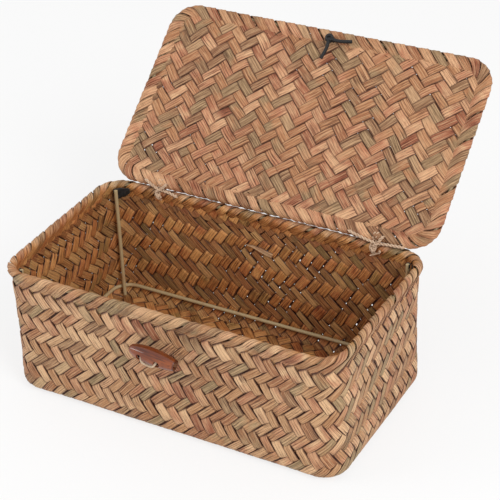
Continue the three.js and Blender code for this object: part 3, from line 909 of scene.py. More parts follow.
def add_lamp(name, place, target, sizes, lean, power):
    lamp = bpy.data.lights.new(name, "AREA")
    lamp.shape = "ELLIPSE"
    lamp.size, lamp.size_y = sizes
    lamp.energy = power
    holder = bpy.data.objects.new(name, lamp)
    aim = (Vector(target) - Vector(place)).to_track_quat("-Z", "Y").to_matrix().to_4x4()
    holder.matrix_world = Matrix.Translation(Vector(place)) @ aim @ Matrix.Rotation(lean, 4, "Z")
    bpy.context.scene.collection.objects.link(holder)


def seen_directly(graph):
    """1 for rays that show the background itself: straight, mirrored or through glass."""
    rays = graph.node("ShaderNodeLightPath", {}, {}, "Is Camera Ray")
    return rays.math("MAXIMUM", rays["Is Glossy Ray"]).math("MAXIMUM", rays["Is Transmission Ray"])


class WOVENBOX_OT_stage(bpy.types.Operator):
    """Set the camera, the pale floor and the soft light"""

    bl_idname = "woven_box.stage"
    bl_label = "Stage"

    lit_point = (0.0, 0.02, 0.08)
    # Place, width and height, and lean of each lamp
    lamps = {
        "key": ((1.7, -0.9, 1.5), (1.2, 1.2), 0.0),
        "side": ((-1.23, -0.8, 0.81), (1.3, 0.22), math.radians(38)),
    }
    floor_half = 3.0
    floor_whiteness = 0.75

    def execute(self, context):
        stage = settings().stage
        context.scene.view_settings.view_transform = "Standard"
        aim_camera(stage)
        powers = {"key": stage.key_power, "side": stage.side_power}
        for name, (place, sizes, lean) in self.lamps.items():
            add_lamp(f"{name}_lamp", place, self.lit_point, sizes, lean, powers[name])
        self.build_floor(stage)
        self.build_world(context, stage)
        return {"FINISHED"}

    def build_floor(self, stage):
        material, graph = new_material("studio_floor_finish")
        matte = graph.node("ShaderNodeBsdfDiffuse", {}, {"Color": stage.floor})
        white = graph.node("ShaderNodeEmission", {}, {"Color": WHITE, "Strength": 1.0})
        whiteness = seen_directly(graph) * self.floor_whiteness
        surface = graph.node("ShaderNodeMixShader", {}, {0: whiteness, 1: matte, 2: white})
        graph.node("ShaderNodeOutputMaterial", {}, {"Surface": surface})
        half = self.floor_half
        corners = [(-half, -half, 0), (half, -half, 0), (half, half, 0), (-half, half, 0)]
        floor = mesh_object("studio_floor", corners, [(0, 1, 2, 3)], material)

    def build_world(self, context, stage):
        world = bpy.data.worlds.new("studio_light")
        world.use_nodes = True
        world.node_tree.nodes.clear()
        graph = Graph(world.node_tree)
        strength = stage.fill_level + seen_directly(graph) * (1.0 - stage.fill_level)
        light = graph.node("ShaderNodeBackground", {}, {"Color": WHITE, "Strength": strength})
        graph.node("ShaderNodeOutputWorld", {}, {"Surface": light})
        context.scene.world = world


def cord_values(material, diameter, strands=1, lay_length=1.0, sides=12, step=0.8 * MM):
    """Inputs of a cord: equal strands that touch each other and fill a given diameter."""
    spread = 1 / math.sin(math.pi / strands) if strands > 1 else 0.0
    plumpness = 1.12 if strands > 1 else 1.0
    strand_radius = diameter / 2 / (1 + spread)
    return {
        "Strands": strands,
        "Lay Radius": strand_radius * spread,
        "Strand Radius": strand_radius * plumpness,
        "Lay Length": lay_length,
        "Sides": sides,
        "Step": step,
        "Material": material,
    }


class WOVENBOX_OT_elastic(bpy.types.Operator):
    """Hang the elastic loop and knot its ends on the lid's inner face"""

    bl_idname = "woven_box.elastic"
    bl_label = "Elastic"

    # Route of the loop from the middle of its two exits, as steps along X and Z in millimetres
    half_route = (
        (2.1, 0), (2.5, -4), (3.4, -10), (4.6, -18), (5.6, -27), (6.1, -36),
        (6.2, -43), (6.2, -47.4), (5.4, -50.5), (3.1, -52.8), (0, -53.6),
    )
    diameter = 2.6 * MM
    # Tails from the knot: steps along X and Y, and depth off the lid's face, in millimetres
    tails = (
        ((0, 0, 1.2), (4, 1.0, 1.8), (10, 0.6, 0.8), (18, -1.0, 0.2)),
        ((-0.5, 0, 1.2), (0.6, 4, 2.0), (0.5, 9, 1.2), (-1.2, 17, 0.4)),
    )
    knot_depth = 1.2 * MM
    # Reach of the knot's turns as a share of the cord's thickness, and how each turn is tilted
    knot_reach = 0.9
    knot_tilts = (0.75, -0.9)

    def execute(self, context):
        self.cord_values = cord_values(elastic_material(), self.diameter)
        self.hang_loop()
        self.tie_knot()
        return {"FINISHED"}

    def hang_loop(self):
        exit_place = Vector(joints["loop_swing"]["pos_m"])
        left = [(-x, z) for x, z in self.half_route]
        right = list(reversed(self.half_route[:-1]))
        route = [exit_place + Vector((x * MM, 0, z * MM)) for x, z in left + right]
        path = smooth_path(route)
        loop = lay_cord("elastic_loop_cord", [{"points": path}], self.cord_values)
        dress(loop, "closure_loop", "black_elastic", "elastic_loop")
        tuple(path[0])
        path_length(path)

    def tie_knot(self):
        exit_place = lid_place.inverted() @ Vector(joints["loop_swing"]["pos_m"])
        x, y = exit_place.x, exit_place.y
        outer_z = box_in_lid("elastic_knot")[1].z
        face = box_in_lid("lid_hem")[0].z - self.diameter / 2
        knot_z = face - self.knot_depth
        paths = [
            [Vector((x + right * MM, y + back * MM, face - depth * MM)) for right, back, depth in tail]
            for tail in self.tails
        ]
        for sign in (-1, 1):
            stem_x = x + sign * self.half_route[0][0] * MM
            paths.append([Vector((stem_x, y, z)) for z in (outer_z, 0.0, knot_z)])
        paths += [self.knot_turn(Vector((x, y, knot_z)), tilt) for tilt in self.knot_tilts]
        strips = [{"points": smooth_path(path)} for path in paths]
        knot = lay_cord("elastic_knot_cord", strips, self.cord_values, lid_place)
        dress(knot, "lid", "black_elastic", "elastic_knot")

    def knot_turn(self, middle, tilt):
        """One tilted turn of cord about the knot."""
        steps = 12
        reach = self.diameter * self.knot_reach
        angles = [FULL_TURN * step / steps for step in range(steps + 1)]
        return [
            middle + reach * Vector((math.cos(angle), tilt * math.sin(angle), -0.5 * math.sin(angle)))
            for angle in angles
        ]


def weave_values(material, **changes):
    """Inputs of a plait: flat strips with no border, unless they are changed."""
    beyond_all = 10.0
    weave = settings().weave
    values = {
        "Thickness": weave.thickness,
        "Swell": weave.swell,
        "Steepness": weave.steepness,
        "Rows": (0.0, 0.0, 0.0),
        "Row Start": 0.0,
        "Border Rows": (0.0, 0.0, 0.0),
        "Border": beyond_all,
        "Tilt": 0.0,
        "Tuck": 0.0,
        "Step": 1.1 * MM,
        "Unevenness": weave.unevenness,
        "Sway": weave.sway,
        "Material": material,
    }
    values.update(changes)
    return values


def strip_facts(dice, lean, tones=(0.0, 1.0), girths=(0.86, 1.05)):
    """What makes one strip differ from the next."""
    return {"lean": lean, "tone": dice.uniform(*tones), "girth": dice.uniform(*girths)}


def jitter(dice, reach):
    """A random step either way, up to a reach in millimetres."""
    return dice.uniform(-reach, reach) * MM


class WallLayout:
    """Where the wall's strips lie: its outline, its profile and the slant of its two families."""

    thickness = 3.0 * MM
    corner_radius = 20.0 * MM
    base_radius = 9.0 * MM
    floor_reach = 9.0 * MM
    first_row = 17.4 * MM
    rim_overlap = 10.4 * MM

    def __init__(self):
        weave = settings().weave
        low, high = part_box("basket_shell")
        self.outline = rounded_outline(
            high.x - low.x - self.thickness,
            high.y - low.y - self.thickness,
            self.corner_radius - self.thickness / 2,
        )
        self.profile = self.middle_face(low.z + self.thickness / 2, high.z, weave.wall_waist)
        self.rear_y = max(point.y for point in self.outline)
        around = outline_length(self.outline)
        self.count = round(around / weave.wall_pitch)
        self.pitch = around / self.count
        self.rising_run = self.pitch / weave.wall_row * weave.wall_shear
        self.falling_run = -self.pitch / weave.wall_row * (1 - weave.wall_shear)

    def middle_face(self, bottom, top, waist):
        """Steps outwards and upwards from under the floor's edge to the rim."""
        radius = self.base_radius - self.thickness / 2
        points = [Vector((-radius - self.floor_reach, bottom))]
        points += arc_points((-radius, bottom + radius), radius, -90, 0, 8)
        foot = bottom + radius
        steps = 16
        for step in range(1, steps + 1):
            share = step / steps
            points.append(Vector((-waist * math.sin(share * math.pi), foot + (top - foot) * share)))
        return points

    def strip_start(self, place, run, rise):
        """How far round the outline a strip is when it has climbed a given rise."""
        return place * self.pitch + run * (rise - self.first_row)

    def rise_at(self, height):
        """Climb along the profile to a height on the upright part of the wall."""
        return path_length(self.profile) - (self.profile[-1].y - height)


class WOVENBOX_OT_walls(bpy.types.Operator):
    """Plait the walls from two families of slanted strips that run round the base edge"""

    bl_idname = "woven_box.walls"
    bl_label = "Walls"

    place_jitter = 0.5

    def execute(self, context):
        weave = settings().weave
        layout = WallLayout()
        dice = random.Random(weave.seed)
        rise = path_length(layout.profile)
        # Sideways run, climb, range of tones and fullness of each family
        families = {
            "rising": (layout.rising_run, rise - layout.rim_overlap, (0.0, 0.8), 0.85),
            "falling": (layout.falling_run, rise, (0.15, 1.0), 1.2),
        }
        for name, (run, top, tones, fullness) in families.items():
            lean = math.copysign(1.0, run)
            strips = []
            for place in range(layout.count):
                start = layout.strip_start(place, run, 0.0) + jitter(dice, self.place_jitter)
                points = [(start, 0), (start + run * top, top)]
                strips.append({"points": points, **strip_facts(dice, lean, tones)})
            material = sedge_material(f"{name}_wall_sedge", shaded_inside_face=-1, has_dull_inside_shade=name == "rising")
            values = weave_values(
                material,
                Width=layout.pitch / math.hypot(1.0, run) * weave.cover,
                Swell=weave.swell * fullness,
                Rows=(0.0, 1 / weave.wall_row, 0.0),
            )
            values["Row Start"] = -layout.first_row / weave.wall_row
            piece = wrap_plait(f"wall_strips_{name}", strips, layout.outline, layout.profile, values)
            dress(piece, "basket", "sedge_basket", "basket_shell")
        return {"FINISHED"}


class WOVENBOX_OT_floor(bpy.types.Operator):
    """Plait the floor of the basket"""

    bl_idname = "woven_box.floor"
    bl_label = "Floor"

    inset = 10.5 * MM
    corner_radius = 12.0 * MM
    lift = 2.6 * MM

    def execute(self, context):
        weave = settings().weave
        low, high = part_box("basket_shell")
        outline = rounded_outline(
            high.x - low.x - 2 * self.inset, high.y - low.y - 2 * self.inset, self.corner_radius
        )
        place = Matrix.Translation((0, 0, low.z + self.lift))
        dice = random.Random(weave.seed + 1)
        material = sedge_material("floor_sedge", shaded_inside_face=1)
        plait_flat("floor_strips", "basket", "sedge_basket", outline, place, dice, material)
        return {"FINISHED"}


def plait_flat(name, body, slot, outline, place, dice, material, nodes=(), **changes):
    """Two families of strips across a flat outline, as one piece each."""
    place_jitter = 0.3
    weave = settings().weave
    pitch = weave.lid_pitch
    slope = pitch / 2 / weave.lid_column
    reach = max(point.length for point in outline)
    count = math.ceil(reach * (1 + slope) / pitch)
    for family, lean in (("rising", 1.0), ("falling", -1.0)):
        direction = Vector((1.0, -lean * slope)).normalized()
        strips = []
        for step in range(-count, count + 1):
            start = Vector((0.0, step * pitch + jitter(dice, place_jitter)))
            stretch = clip_line(start, direction, outline)
            facts = strip_facts(dice, -lean)
            if stretch:
                strips.append({"points": stretch, **facts})
        values = weave_values(
            material,
            Width=pitch / math.hypot(1.0, slope) * weave.lid_cover,
            Rows=(1 / weave.lid_column, 0.0, 0.0),
            **changes,
        )
        values["Border Rows"] = (0.0, 2 / pitch, 0.0)
        tree = shared_tree("Flat plait", plait_tree, False)
        piece = grow(f"{name}_{family}", strips, tree, values, place)
        dress(piece, body, slot, *nodes)


class WOVENBOX_OT_lid(bpy.types.Operator):
    """Plait the lid's panel"""

    bl_idname = "woven_box.lid"
    bl_label = "Lid"

    corner_radius = 18.0 * MM
    # Depth of the border along the hinge, in which the rows run the other way
    hinge_rows = 26.0 * MM
    blush = 1.0
    crevice_shade_depth = 0.85

    def execute(self, context):
        weave = settings().weave
        low, high = box_in_lid("lid_panel")
        middle = (low + high) / 2
        outline = rounded_outline(high.x - low.x, high.y - low.y, self.corner_radius)
        half_pitch = weave.lid_pitch / 2
        hinge_border = (high.y - low.y) / 2 - self.hinge_rows
        place = lid_place @ Matrix.Translation(middle)
        plait_flat(
            "lid_strips",
            "lid",
            "sedge_lid",
            outline,
            place,
            random.Random(weave.seed + 2),
            sedge_material("lid_sedge", self.blush, crevice_shade_depth=self.crevice_shade_depth),
            nodes=("lid_panel",),
            Border=(math.floor(hinge_border / half_pitch) + 0.5) * half_pitch,
        )
        return {"FINISHED"}


def wrap_edge(name, outline, profile, starts, run, material, dice, place=None, **changes):
    """Strips folded slantwise over a wire, side by side like shingles."""
    place_jitter, slant_jitter, end_jitter = 0.5, 1.5, 0.06
    depth = path_length(profile)
    strips = []
    for start in starts:
        begin = start + jitter(dice, place_jitter)
        slant = run * depth + jitter(dice, slant_jitter)
        early, late = dice.uniform(0, end_jitter), dice.uniform(1 - end_jitter, 1)
        ends = [(begin + slant * share, depth * share) for share in (early, late)]
        strips.append({"points": ends, **strip_facts(dice, 1.0)})
    values = weave_values(material, Swell=0.0, Tuck=1.2 * MM, Step=1.2 * MM, Unevenness=0.5 * MM)
    values.update(changes)
    return wrap_plait(name, strips, outline, profile, values, place)


class WOVENBOX_OT_rim(bpy.types.Operator):
    """Carry the rising strips of the wall over the rim wire and down inside"""

    bl_idname = "woven_box.rim"
    bl_label = "Rim"

    binding_radius = 2.9 * MM
    # Steps outwards and upwards of the wraps as they come out from under the falling strips, in millimetres
    outer_climb = ((-0.9, 87.5), (-0.7, 91.0), (0.1, 94.2), (1.6, 97.6))
    inner_end = 92.5 * MM
    wall_offset = 0.5 * MM
    shingle_tilt = math.radians(6)
    tuck = 0.6 * MM
    crevice_shade_depth = 0.5
    # Lengths along a wrap, in millimetres, at which it turns inwards and takes the painted inside shade, and
    # at which it goes into the rim's painted shadow
    inside_shade_from = 25
    shaded_from = 39

    def execute(self, context):
        weave = settings().weave
        layout = WallLayout()
        wire_low, wire_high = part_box("rim_wire")
        middle = (wire_low.z + wire_high.z) / 2
        radius = self.binding_radius
        easing = 0.55 * self.wall_offset + 0.45 * radius
        climb = [Vector(step) * MM for step in self.outer_climb]
        profile = [
            *climb,
            *arc_points((0.0, middle), radius, 0, 180, 12),
            Vector((-easing, (self.inner_end + middle) / 2)),
            Vector((-self.wall_offset, self.inner_end)),
        ]
        rise = layout.rise_at(climb[0].y)
        starts = [layout.strip_start(place, layout.rising_run, rise) for place in range(layout.count)]
        piece = wrap_edge(
            "rim_wraps",
            layout.outline,
            profile,
            starts,
            layout.rising_run,
            sedge_material(
                "rim_sedge",
                shaded_inside_face=-1,
                inside_shade_from=self.inside_shade_from,
                shaded_from=self.shaded_from,
                crevice_shade_depth=self.crevice_shade_depth,
            ),
            random.Random(weave.seed + 3),
            Width=layout.pitch / math.hypot(1.0, layout.rising_run) * weave.cover,
            Tilt=self.shingle_tilt,
            Tuck=self.tuck,
        )
        dress(piece, "basket", "sedge_rim", "rim_binding")
        return {"FINISHED"}


class WOVENBOX_OT_hem(bpy.types.Operator):
    """Fold the lid's strips slantwise round its wire"""

    bl_idname = "woven_box.hem"
    bl_label = "Hem"

    hem_radius = 3.3 * MM
    flap = 9.5 * MM
    flap_offset = 0.2 * MM
    corner_radius = 18.4 * MM
    run = -1.0
    strip_thickness = 0.9 * MM
    shingle_tilt = math.radians(-5)
    crevice_shade_depth = 0.55

    def execute(self, context):
        weave = settings().weave
        low, high = box_in_lid("lid_wire")
        wire_diameter = high.z - low.z
        outline = rounded_outline(
            high.x - low.x - wire_diameter, high.y - low.y - wire_diameter, self.corner_radius
        )
        radius = self.hem_radius
        easing = 0.4 * self.flap_offset + 0.6 * radius
        profile = [
            Vector((-self.flap, -self.flap_offset)),
            Vector((-0.5 * self.flap, -easing)),
            *arc_points((0.0, 0.0), radius, -90, 90, 12),
            Vector((-0.5 * self.flap, easing)),
            Vector((-self.flap, self.flap_offset)),
        ]
        count = round(outline_length(outline) / weave.lid_pitch)
        spacing = outline_length(outline) / count
        piece = wrap_edge(
            "lid_hem_wraps",
            outline,
            profile,
            [step * spacing for step in range(count)],
            self.run,
            sedge_material("hem_sedge", WOVENBOX_OT_lid.blush, crevice_shade_depth=self.crevice_shade_depth),
            random.Random(weave.seed + 4),
            lid_place @ Matrix.Translation((low + high) / 2),
            Width=spacing / math.hypot(1.0, self.run),
            Thickness=self.strip_thickness,
            Tilt=self.shingle_tilt,
        )
        dress(piece, "lid", "sedge_hem", "lid_hem")
        return {"FINISHED"}


class WOVENBOX_OT_wires(bpy.types.Operator):
    """Make the base ring and the corner posts of coated wire"""

    bl_idname = "woven_box.wires"
    bl_label = "Wires"

    corner_radius = 15.2 * MM
    corners = ("rear_right", "rear_left", "front_left", "front_right")
    post_steps = 20

    def execute(self, context):
        material = wire_material()
        for hidden in ("rim_wire", "lid_wire"):
            node = frame["nodes"][hidden]
            node.data.materials.clear()
            node.data.materials.append(material)
        low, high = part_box("base_wire")
        diameter = high.z - low.z
        middle = (low.z + high.z) / 2
        ring = rounded_outline(high.x - low.x - diameter, high.y - low.y - diameter, self.corner_radius)
        ring = [(point.x, point.y, middle) for point in ring]
        self.lay_wire("base_wire_ring", [{"points": ring, "closed": True}], diameter, material, "base_wire")
        for corner in self.corners:
            low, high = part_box(f"post_{corner}")
            x, y = (low.x + high.x) / 2, (low.y + high.y) / 2
            climb = (high.z - low.z) / self.post_steps
            post = [(x, y, low.z + climb * step) for step in range(self.post_steps + 1)]
            self.lay_wire(f"corner_post_{corner}", [{"points": post}], diameter, material, f"post_{corner}")
        return {"FINISHED"}

    def lay_wire(self, name, strips, diameter, material, node):
        values = cord_values(material, diameter, sides=20, step=2.0 * MM)
        dress(lay_cord(name, strips, values), "basket", "coated_wire", node)


def grid_faces(rows, columns, first=0):
    """Faces of a grid of points that are listed row by row."""
    faces = []
    for row in range(rows - 1):
        for column in range(columns - 1):
            corner = first + row * columns + column
            faces.append((corner, corner + 1, corner + columns + 1, corner + columns))
    return faces


class WOVENBOX_OT_tapes(bpy.types.Operator):
    """Wind black tape round the heads of the posts and stick its ends along the rim"""

    bl_idname = "woven_box.tapes"
    bl_label = "Tapes"

    # Sense in which each corner's tape runs from its post along the rim
    corners = {"rear_right": -1, "rear_left": -1, "front_left": 1, "front_right": -1}
    patch_radius = 14.7 * MM
    # Turn from the corner's diagonal at which the patch starts, and how far it goes
    patch_start = math.radians(2.0)
    patch_sweep = math.radians(44.0)
    post_radius = 1.5 * MM
    winding_height = 3.0 * MM
    thickness = 0.35 * MM

    def execute(self, context):
        dice = random.Random(settings().weave.seed + 5)
        material = tape_material()
        for corner, sense in self.corners.items():
            self.stick(corner, sense, material, dice)
        return {"FINISHED"}

    def stick(self, corner, sense, material, dice):
        post_low, post_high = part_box(f"post_{corner}")
        tape_low, tape_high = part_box(f"post_tape_{corner}")
        post = (post_low + post_high) / 2
        diagonal = math.atan2(math.copysign(1, post.y), math.copysign(1, post.x))
        shell_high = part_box("basket_shell")[1]
        centre = Vector((
            math.copysign(shell_high.x - WallLayout.corner_radius, post.x),
            math.copysign(shell_high.y - WallLayout.corner_radius, post.y),
            0,
        ))
        patch = self.patch(centre, diagonal, sense, tape_low.z, tape_high.z, dice)
        winding = self.winding(post, diagonal, tape_high.z, dice)
        points = [point for sheet in (patch, winding) for row in sheet for point in row]
        patch_faces = grid_faces(len(patch), len(patch[0]))
        if sense > 0:
            patch_faces = [tuple(reversed(face)) for face in patch_faces]
        winding_faces = grid_faces(len(winding), len(winding[0]), len(patch) * len(patch[0]))
        piece = mesh_object(f"post_tape_{corner}_strip", points, patch_faces + winding_faces, material)
        solid = piece.modifiers.new("thickness", "SOLIDIFY")
        solid.thickness = self.thickness
        solid.offset = 0.0
        settle(piece)
        piece.data.shade_smooth()
        dress(piece, "basket", "black_tape", f"post_tape_{corner}")

    def patch(self, centre, diagonal, sense, low, high, dice):
        """Creased sheet along the inside of the rim that narrows towards its end, with ragged edges."""
        columns, rows = 22, 9
        sheet = []
        phase = dice.uniform(0, FULL_TURN)
        for row in range(rows):
            share = row / (rows - 1)
            line = []
            for column in range(columns):
                reach = column / (columns - 1)
                angle = diagonal + sense * (self.patch_start + self.patch_sweep * reach)
                crease = 0.22 * math.sin(9 * reach + 4 * share + phase) * math.sin(17 * reach - 6 * share)
                radius = self.patch_radius + (crease + 0.1 * dice.uniform(-1, 1)) * MM
                bottom = low + (0.4 + 5.2 * reach ** 2 + 0.3 * math.sin(11 * reach + phase)) * MM
                top = high - (0.4 + 0.3 * math.sin(13 * reach)) * MM
                height = bottom + (top - bottom) * share
                line.append(centre + Vector((radius * math.cos(angle), radius * math.sin(angle), height)))
            sheet.append(line)
        return sheet

    def winding(self, post, diagonal, high, dice):
        """Tape round the side of the post's head that faces the corner."""
        columns, rows = 20, 4
        off_post, ruck, top_gap = 0.3, 0.06, 0.2
        sheet = []
        for row in range(rows):
            line = []
            for column in range(columns):
                angle = diagonal + (column / (columns - 1) - 0.5) * FULL_TURN / 2
                radius = self.post_radius + (off_post + ruck * dice.uniform(-1, 1)) * MM
                z = high - top_gap * MM - self.winding_height * (1 - row / (rows - 1))
                line.append(Vector((post.x + radius * math.cos(angle), post.y + radius * math.sin(angle), z)))
            sheet.append(line)
        return sheet


def trefoil(place, size):
    """Closed path of a simple knot, flat in a frame of its own."""
    steps = 36
    angles = [FULL_TURN * step / steps for step in range(steps)]
    return [
        place @ (size * Vector((
            math.sin(angle) + 2 * math.sin(2 * angle),
            math.cos(angle) - 2 * math.cos(2 * angle),
            -math.sin(3 * angle),
        )))
        for angle in angles
    ]


def path_from(place, steps):
    """A smooth path through steps in millimetres from a place."""
    return smooth_path([place + Vector(step) * MM for step in steps])


def loose_hairs(paths, count, length, dice):
    """Short bent fibres that stand off cords at random."""
    hairs = []
    for _ in range(count):
        path = dice.choice(paths)
        root = dice.choice(path)
        lean = Vector([dice.uniform(-1, 1) for _ in range(3)]).normalized()
        bend = Vector([dice.uniform(-0.5, 0.5) for _ in range(3)])
        reach = length * dice.uniform(0.5, 1.0)
        route = [root, root + lean * reach * 0.5, root + (lean + bend) * reach]
        hairs.append({"points": smooth_path(route, 3)})
    return hairs


class WOVENBOX_OT_hinges(bpy.types.Operator):
    """Tie the lid to the rim with turns of jute twine, knot them and leave their ends loose"""

    bl_idname = "woven_box.hinges"
    bl_label = "Hinges"

    # Thickness of the twine in the ties, in the loose strands and in the knots
    twine = 2.2 * MM
    strand = 2.4 * MM
    knot_twine = 1.5 * MM
    turns = 2
    # One figure-of-eight turn about the hinge line, as steps along Y and Z in millimetres
    eight = (
        (-3.6, -5.8), (-4.0, -7.6), (-3.4, -10.0), (-2.4, -13.0), (-1.5, -14.8), (-0.4, -13.0),
        (0.4, -10.0), (1.0, -7.4), (0.4, -5.2), (-1.0, -3.8), (-2.4, -2.0), (-2.6, 0.4),
        (-1.2, 2.4), (1.2, 2.6), (2.6, 0.4), (2.2, -2.2), (0.4, -3.8), (-2.0, -4.6),
    )
    # Strands along the groove between the lid's hem and the rim, from the tie's middle on the hinge line
    strands = {
        "left": (
            ((-11.0, -4.1, 2.2), (-6.8, -4.7, 0.0), (-3.4, -4.6, -2.0), (0.0, -4.3, -3.6), (4.5, -4.4, -3.9),
             (9.0, -4.6, -4.1), (15.9, -5.4, -5.3)),
            ((-1.4, -5.6, -4.4), (0.8, -6.0, -3.0), (3.4, -5.4, -1.0), (6.8, -4.4, 2.0)),
        ),
        "right": (
            ((-19.4, -4.4, 1.6), (-13.1, -4.7, 0.1), (-6.0, -4.7, -1.6), (0.0, -4.5, -2.8), (3.5, -4.6, -2.9),
             (12.1, -4.7, -1.9), (23.0, -4.6, -1.2)),
            ((0.5, -6.0, -4.6), (3.0, -6.2, -2.8), (5.0, -5.2, 0.4), (6.8, -4.0, 3.0)),
        ),
    }
    # Loose ends inside the basket, from the knot
    basket_ends = {
        "left": (
            ((-1.0, 2.2, 3.4), (-2.6, 0.8, 1.4), (-2.0, 0.2, -1.4), (0.6, 0.0, -2.4), (2.4, 0.4, -0.6)),
        ),
        "right": (
            ((-2.2, 2.2, 3.4), (-2.6, 0.8, 0.4), (-0.6, 0.0, -2.2), (1.6, 0.6, 0.0), (1.6, 1.8, 3.2)),
            ((4.6, 1.0, -0.4), (5.4, 0.8, -1.6), (2.6, 1.2, -3.4), (-3.0, 1.8, -6.8)),
        ),
    }
    knot_step = Vector((0.4, -6.7, -7.6)) * MM
    knot_size = 0.5 * MM
    knot_lean = math.radians(50)
    # Height below the hinge line towards which a shutting lid would press the strands, and how much would
    # stay
    press_drop = 4.3 * MM
    press_keep = 0.15
    # Fibres that stand off the twine, and those that spread from its loose tips
    hair = 0.16 * MM
    hair_length = 2.6 * MM
    hairs_per_path = 10
    fray_radius = 0.26 * MM
    frays_per_tip = 10
    fray_spread = 0.4
    fray_root = 1.8 * MM
    fray_ahead = 0.8
    fray_reach = (0.6, 1.8)

    def execute(self, context):
        colours = settings().colours
        dice = random.Random(settings().weave.seed + 6)
        material = twine_material("jute_twine_finish", colours.twine, colours.twine_dark)
        diameters = {"tie": self.twine, "knot": self.knot_twine, "ends": self.strand}
        self.cords = {
            part: cord_values(material, thick, strands=2, lay_length=2.5 * thick, sides=9, step=0.6 * MM)
            for part, thick in diameters.items()
        }
        self.hairs = cord_values(material, self.hair, sides=4, step=0.8 * MM)
        for side in ("left", "right"):
            low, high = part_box(f"hinge_tie_{side}")
            middle = Vector(((low.x + high.x) / 2, hinge_place.y, hinge_place.z))
            self.tie(side, middle, dice)
            self.knot(side, middle, dice)
            self.leave_ends(side, middle, dice)
        return {"FINISHED"}

    def spin(self, part, side, paths, dice, *nodes, closed=()):
        """Twine along paths, with fibres standing off it."""
        name = f"hinge_{part}_{side}_twine"
        strips = [{"points": path} for path in paths] + [{"points": path, "closed": True} for path in closed]
        piece = dress(lay_cord(name, strips, self.cords[part]), "basket", "jute_twine", *nodes)
        hairs = loose_hairs([*paths, *closed], self.hairs_per_path * len(paths), self.hair_length, dice)
        fluff = dress(lay_cord(f"{name}_hairs", hairs, self.hairs), "basket", "jute_twine", *nodes)
        return piece, fluff

    def tie(self, side, middle, dice):
        count = len(self.eight)
        route = []
        for step in range(self.turns * count):
            y, z = self.eight[step % count]
            x = (step / count - self.turns / 2) * self.twine
            route.append(middle + Vector((x, y * MM, z * MM)))
        self.spin("tie", side, [smooth_path(route, 6)], dice, f"hinge_tie_{side}")

    def knot(self, side, middle, dice):
        centre = middle + self.knot_step
        facing = Matrix.Translation(centre) @ Matrix.Rotation(self.knot_lean, 4, "X")
        ends = [path_from(centre, steps) for steps in self.basket_ends[side]]
        knots = [trefoil(facing, self.knot_size)]
        self.spin("knot", side, ends, dice, f"hinge_knot_{side}", closed=knots)

    def leave_ends(self, side, middle, dice):
        """Strands over the groove, with fibres fraying from their tips."""
        ends = [path_from(middle, steps) for steps in self.strands[side]]
        loose = list(self.spin("ends", side, ends, dice))
        frayed = [fibre for path in ends for fibre in self.frays(path, dice)]
        values = {**self.hairs, "Strand Radius": self.fray_radius}
        loose.append(dress(lay_cord(f"hinge_frays_{side}_twine", frayed, values), "basket", "jute_twine"))
        for piece in loose:
            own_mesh(piece)

    def frays(self, path, dice):
        """Fibres that spread from both tips of a strand."""
        fibres = []
        for tip, inner in ((path[-1], path[-4]), (path[0], path[3])):
            ahead = (tip - inner).normalized()
            for _ in range(self.frays_per_tip):
                spread = Vector([dice.uniform(-self.fray_spread, self.fray_spread) for _ in range(3)])
                root = inner + spread * self.fray_root
                end = tip + (ahead * self.fray_ahead + spread) * dice.uniform(*self.fray_reach) * MM
                fibres.append({"points": [root, (root + end) / 2, end]})
        return fibres


def lathe(stations, sides):
    """Points and faces of a turned form about X, from stations of place and radius whose ends are points."""
    points = []
    for place, radius in stations[1:-1]:
        for side in range(sides):
            angle = FULL_TURN * side / sides
            points.append(Vector((place, radius * math.cos(angle), radius * math.sin(angle))))
    rings = len(stations) - 2
    first, last = len(points), len(points) + 1
    points += [Vector((stations[0][0], 0, 0)), Vector((stations[-1][0], 0, 0))]
    faces = []
    for side in range(sides):
        after = (side + 1) % sides
        for ring in range(rings - 1):
            here, there = ring * sides, (ring + 1) * sides
            faces.append((here + side, here + after, there + after, there + side))
        end = (rings - 1) * sides
        faces.append((first, after, side))
        faces.append((last, end + side, end + after))
    return points, faces


